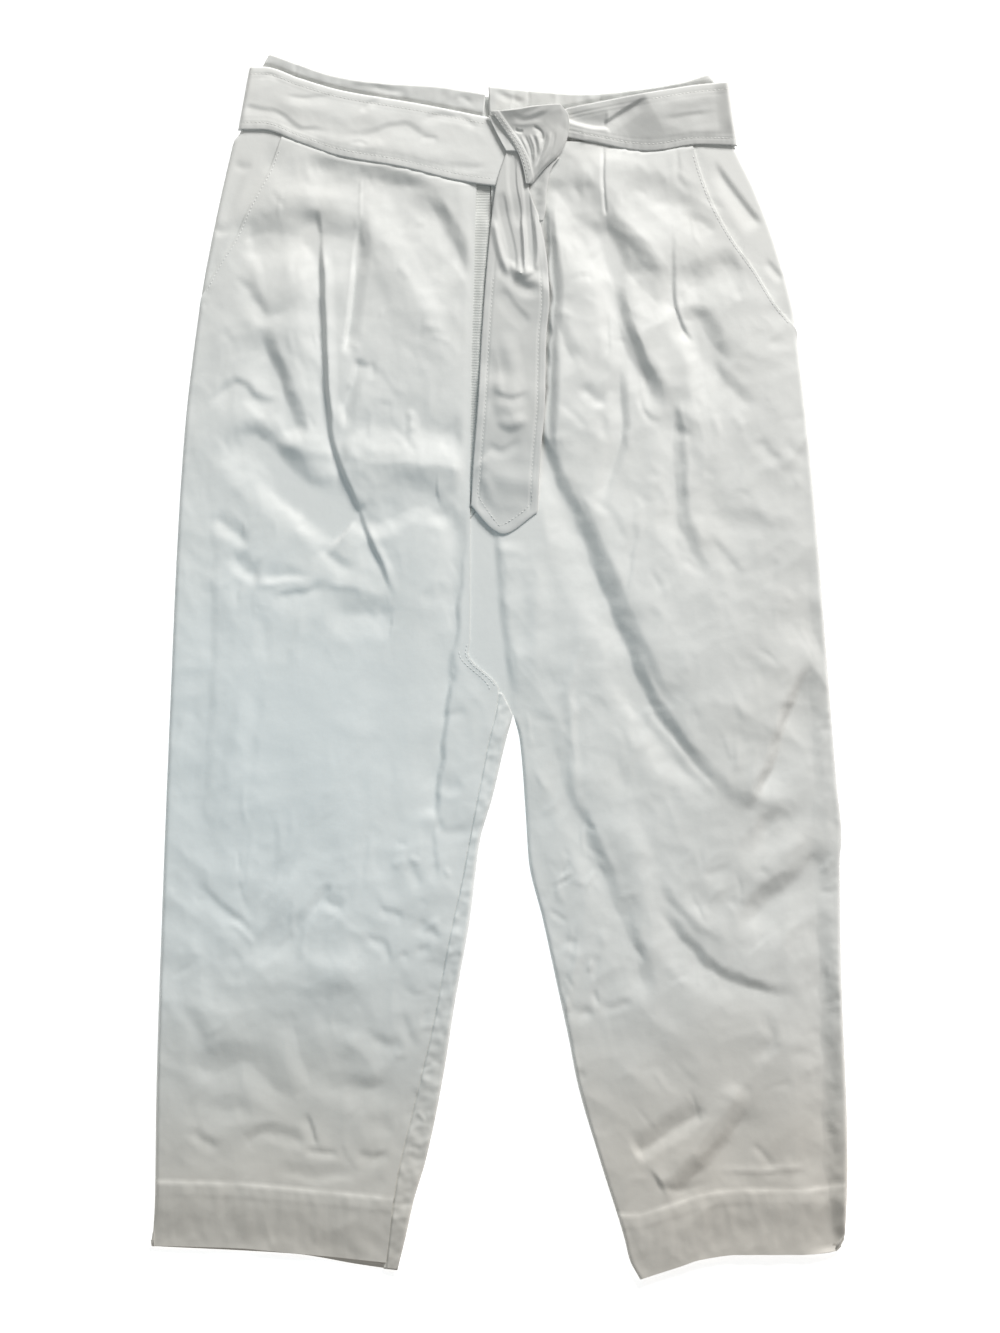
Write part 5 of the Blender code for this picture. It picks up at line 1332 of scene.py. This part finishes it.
def make_stitches():
    """The stitching of the belt and its ends, and that of the pockets and the fly."""
    end_outline = np.vstack((
        along_y(END_LEFT, 300, 132, END_STITCH, END_STITCH_POINTS), END_STITCH_TIP,
        along_y(END_RIGHT, 125, 300, -END_STITCH, END_STITCH_POINTS)))
    belt = stitched("tie_belt_stitching", [
        (along_x(BELT_LEFT_TOP, -196, -12, -EDGE_STITCH), belt_surface),
        (along_x(BELT_LEFT_LOW, -198, -6, EDGE_STITCH), belt_surface),
        (along_x(BELT_RIGHT_TOP, 116, 175, -EDGE_STITCH), belt_surface),
        (along_x(BELT_RIGHT_LOW, 60, 179, EDGE_STITCH), belt_surface),
        (end_outline, end_surface),
        (along_y(KNOT_EDGE, 425, 376, KNOT_STITCH), knot_surface),
        (along_y(KNOT_EDGE, 423, 380, KNOT_FAR_STITCH), knot_surface),
    ])
    seams = stitched("seam_stitching", [
        (along_y(LEFT_POCKET, 398, 288, POCKET_STITCH), left_surface),
        (along_y(RIGHT_POCKET, 394, 264, -POCKET_STITCH), right_surface),
        (along_y(LEFT_CENTRE, 18, -15, -FLY_STITCH, FLY_STITCH_POINTS), left_surface),
        (along_y(LEFT_CENTRE, 12, -17, -FLY_FAR_STITCH, FLY_STITCH_POINTS), left_surface),
    ])
    return belt, seams


# Materials
# The second white is darker and warmer: painted shade and painted warm light towards the hems, which the
# random blotches also lean to
COOL_WHITE, WARM_SHADE_WHITE = (0.815, 0.833, 0.822), (0.765, 0.742, 0.69)
BELT_ROUGHNESS, SHADED_STRAP_ROUGHNESS = 0.55, 0.65
WEAVE_TURN = 0.35
STRAP_PAINTED_SHADE = 0.84        # how much darker the strap's rougher copy is: painted shade for the knot, the ends and the belt's right run


def node(tree, kind, inputs=(), **settings):
    """A shader node with its settings, its inputs set or linked."""
    made = tree.nodes.new("ShaderNode" + kind)
    for name, value in settings.items():
        setattr(made, name, value)
    for name, value in dict(inputs).items():
        if isinstance(value, bpy.types.NodeSocket):
            tree.links.new(value, made.inputs[name])
        else:
            made.inputs[name].default_value = value
    return made


def new_material(name):
    """A material, its node tree and its shader."""
    material = bpy.data.materials.new(name)
    material.use_nodes = True
    tree = material.node_tree
    return material, tree, tree.nodes["Principled BSDF"]


def sateen(name, roughness=0.58, painted_shade_tone=1.0):
    """White cotton sateen with painted shade that darkens and warms it towards the hems, a share of
    painted shade all over for pieces in shade, random blotches, a fine weave and a soft crumple.
    """
    cool, warm = ([part * painted_shade_tone for part in white] + [1.0] for white in (COOL_WHITE, WARM_SHADE_WHITE))
    material, tree, shader = new_material(name)
    place = node(tree, "TexCoord").outputs["Object"]
    height = node(tree, "SeparateXYZ", {0: place}).outputs["Y"]
    # painted shade: the cloth turns darker and warmer by height towards the hems
    hem_shade_share = node(tree, "MapRange", {
        "Value": height, "From Min": -0.18, "From Max": -0.46, "To Min": 0.0, "To Max": 1.0},
        interpolation_type="SMOOTHSTEP").outputs[0]
    blotch = node(tree, "TexNoise", {"Vector": place, "Scale": 7.0, "Detail": 3.0, "Roughness": 0.55})
    tone = node(tree, "MapRange", {
        "Value": blotch.outputs[0], "From Min": 0.3, "From Max": 0.7, "To Min": -0.15, "To Max": 0.15})
    share = node(tree, "Math", {0: hem_shade_share, 1: tone.outputs[0]}, operation="ADD", use_clamp=True)
    colour = node(tree, "Mix", {"Factor": share.outputs[0], "A": cool, "B": warm}, data_type="RGBA")
    tree.links.new(colour.outputs["Result"], shader.inputs["Base Color"])
    weave = []
    for turn in (WEAVE_TURN, WEAVE_TURN + math.pi / 2):
        turned = node(tree, "Mapping", {"Vector": place, "Rotation": (0, 0, turn)})
        ribs = node(tree, "TexWave", {
            "Vector": turned.outputs[0], "Scale": 520.0, "Distortion": 1.2, "Detail": 1.0})
        weave.append(ribs.outputs["Fac"])
    threads = node(tree, "Math", {0: weave[0], 1: weave[1]}, operation="MULTIPLY")
    thread_bump = node(tree, "Bump", {"Height": threads.outputs[0], "Strength": 0.25, "Distance": 0.00012})
    soft = node(tree, "TexNoise", {"Vector": place, "Scale": 90.0, "Detail": 3.0, "Roughness": 0.5})
    soft_bump = node(tree, "Bump", {
        "Height": soft.outputs[0], "Strength": 0.35, "Distance": 0.0006, "Normal": thread_bump.outputs[0]})
    tree.links.new(soft_bump.outputs[0], shader.inputs["Normal"])
    shader.inputs["Roughness"].default_value = roughness
    shader.inputs["Specular IOR Level"].default_value = 0.35
    shader.inputs["Sheen Weight"].default_value = 0.2
    shader.inputs["Sheen Roughness"].default_value = 0.45
    return material


def tape():
    """Woven zip tape with fine cross ribs."""
    material, tree, shader = new_material("zip_tape_weave")
    place = node(tree, "TexCoord").outputs["Object"]
    ribs = node(tree, "TexWave", {"Vector": place, "Scale": 260.0, "Distortion": 0.6}, bands_direction="Y")
    bump = node(tree, "Bump", {"Height": ribs.outputs["Fac"], "Strength": 0.6, "Distance": 0.0003})
    tree.links.new(bump.outputs[0], shader.inputs["Normal"])
    tone = node(tree, "MapRange", {"Value": ribs.outputs["Fac"], "To Min": 0.0, "To Max": 1.0})
    shade, light = (0.70, 0.72, 0.70, 1), (0.80, 0.82, 0.80, 1)
    colour = node(tree, "Mix", {"Factor": tone.outputs[0], "A": shade, "B": light}, data_type="RGBA")
    tree.links.new(colour.outputs["Result"], shader.inputs["Base Color"])
    shader.inputs["Roughness"].default_value = 0.75
    return material


def thread():
    """Bright mercerised sewing thread."""
    material, tree, shader = new_material("sewing_thread")
    place = node(tree, "TexCoord").outputs["Object"]
    twist = node(tree, "TexNoise", {"Vector": place, "Scale": 1400.0})
    bump = node(tree, "Bump", {"Height": twist.outputs[0], "Strength": 0.4, "Distance": 0.0001})
    tree.links.new(bump.outputs[0], shader.inputs["Normal"])
    shader.inputs["Base Color"].default_value = (0.84, 0.85, 0.83, 1)
    shader.inputs["Roughness"].default_value = 0.5
    return material


Lamp = namedtuple("Lamp", "name place aim size power colour")
LAMPS = [
    Lamp("key", (1.12, 2.5, 1.35), (0, 0, 0), 0.95, 100.0, (1.0, 0.975, 0.95)),
    Lamp("cool_top_light", (-0.19, -0.07, 0.36), (-0.19, -0.07, 0), 0.3, 0.21, (0.25, 0.73, 1.0)),
]


def make_stage():
    """The plain pale floor, a soft key from beyond the waist and the camera straight above."""
    bpy.ops.mesh.primitive_plane_add(size=8.0, location=(0, 0, -0.0002))
    floor = bpy.context.object
    floor.name = "floor"
    material, tree, shader = new_material("pale_floor")
    shader.inputs["Base Color"].default_value = (0.93, 0.93, 0.93, 1)
    shader.inputs["Roughness"].default_value = 0.9
    shader.inputs["Specular IOR Level"].default_value = 0.1
    shader.inputs["Emission Color"].default_value = (1, 1, 1, 1)
    shader.inputs["Emission Strength"].default_value = 0.7
    floor.data.materials.append(material)

    world = bpy.data.worlds.new("soft_sky")
    world.use_nodes = True
    world.node_tree.nodes["Background"].inputs["Color"].default_value = (1.0, 0.97, 0.925, 1)
    world.node_tree.nodes["Background"].inputs["Strength"].default_value = 0.27
    bpy.context.scene.world = world

    for lamp in LAMPS:
        light = bpy.data.lights.new(lamp.name, "AREA")
        light.size = lamp.size
        light.energy = lamp.power
        light.color = lamp.colour
        shining = bpy.data.objects.new(lamp.name, light)
        shining.location = lamp.place
        way = Vector(lamp.aim) - Vector(lamp.place)
        shining.rotation_euler = way.to_track_quat("-Z", "Y").to_euler()
        shining.visible_camera = False
        bpy.context.scene.collection.objects.link(shining)

    view = bpy.data.cameras.new("view")
    view.sensor_fit = "VERTICAL"
    view.sensor_height = 36.0
    view.clip_start, view.clip_end = 0.1, 20.0
    view.lens = view.sensor_height * (VIEW_DISTANCE - FRONT_TOP * MM) / VIEW_HEIGHT
    camera = bpy.data.objects.new("view", view)
    camera.location = (0, VIEW_MIDDLE, VIEW_DISTANCE)
    bpy.context.scene.collection.objects.link(camera)
    bpy.context.scene.camera = camera
    bpy.context.scene.view_settings.view_transform = "Standard"


# What each piece was cut to, in metres: width and length, and its area where it isn't a rectangle
Cut = namedtuple("Cut", "piece material nodes flat area rests_on")


def dress(piece, material, nodes):
    """Give a piece its material, hang it under the root body and hide the parts of the model that it
    stands for.
    """
    piece.data.materials.append(material)
    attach(piece, "root")
    if nodes:
        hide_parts(*nodes)


def main():
    """Make, dress and place all the pieces."""
    cloth, strap = sateen("cotton_sateen"), sateen("belt_sateen", BELT_ROUGHNESS)
    tape_weave, sewing = tape(), thread()
    # a rougher copy of the strap's sateen, darkened as painted shade for the knot, the ends and the belt's
    # right run
    shaded_strap = sateen("belt_sateen_painted_shade", SHADED_STRAP_ROUGHNESS, STRAP_PAINTED_SHADE)
    front_left, front_right = make_fronts()
    hip_left, hip_right = make_facings()
    back_left, back_right, inseam = make_backs()
    band_left, band_right, band_back = make_waistband()
    fly = make_fly()
    belt_left, belt_right, belt_back = make_belt()
    long_end, short_end = make_ends()
    knot, knot_side = make_knot()

    cuts = [
        Cut(back_left, cloth, ("back_leg_left",), (0.30, 0.88), 0.205, ["floor"]),
        Cut(back_right, cloth, ("back_leg_right",), (0.30, 0.89), 0.20, ["floor"]),
        Cut(inseam, cloth, ("back_leg_left_wrap",), (0.024, 0.45), 0.0065, ["back_panel_left"]),
        Cut(front_left, cloth, ("front_leg_left",), (0.27, 0.90), 0.19, ["back_panel_left"]),
        Cut(front_right, cloth, ("front_leg_right",), (0.29, 0.90), 0.19, ["back_panel_right"]),
        Cut(hip_left, cloth, ("pocket_facing_left",), (0.06, 0.16), 0.0042, ["back_panel_left"]),
        Cut(hip_right, cloth, ("pocket_facing_right",), (0.06, 0.16), 0.0045, ["back_panel_right"]),
        Cut(band_left, cloth, ("waistband_front_left",), (0.185, 0.036), None, ["waistband_behind"]),
        Cut(band_right, cloth, ("waistband_front_right",), (0.185, 0.036), None, ["waistband_behind"]),
        Cut(band_back, cloth, ("waistband_back",), (0.38, 0.036), None, ["tie_belt_behind"]),
        Cut(belt_left, strap, ("belt_front_left",), (0.21, 0.05), None,
            ["waistband_left", "front_panel_left"]),
        Cut(belt_right, shaded_strap, ("belt_front_right",), (0.155, 0.05), None, ["waistband_right"]),
        Cut(belt_back, strap, ("belt_back",), (0.385, 0.05), None, ["floor"]),
        Cut(long_end, shaded_strap, ("belt_end",), (0.053, 0.29), None, ["front_panel_right", "fly_tape"]),
        Cut(short_end, shaded_strap, ("belt_end_short",), (0.012, 0.05), None, ["front_panel_right"]),
        Cut(knot, shaded_strap, ("belt_knot",), (0.06, 0.058), 0.0028, ["tie_belt_left", "tie_belt_right"]),
        Cut(knot_side, strap, (), (0.013, 0.03), None, ["tie_belt_left"]),
    ]
    for cut in cuts:
        dress(cut.piece, cut.material, cut.nodes)
    dress(fly, tape_weave, ("fly_strip",))
    for stitches in make_stitches():
        dress(stitches, sewing, ())
    make_stage()


main()
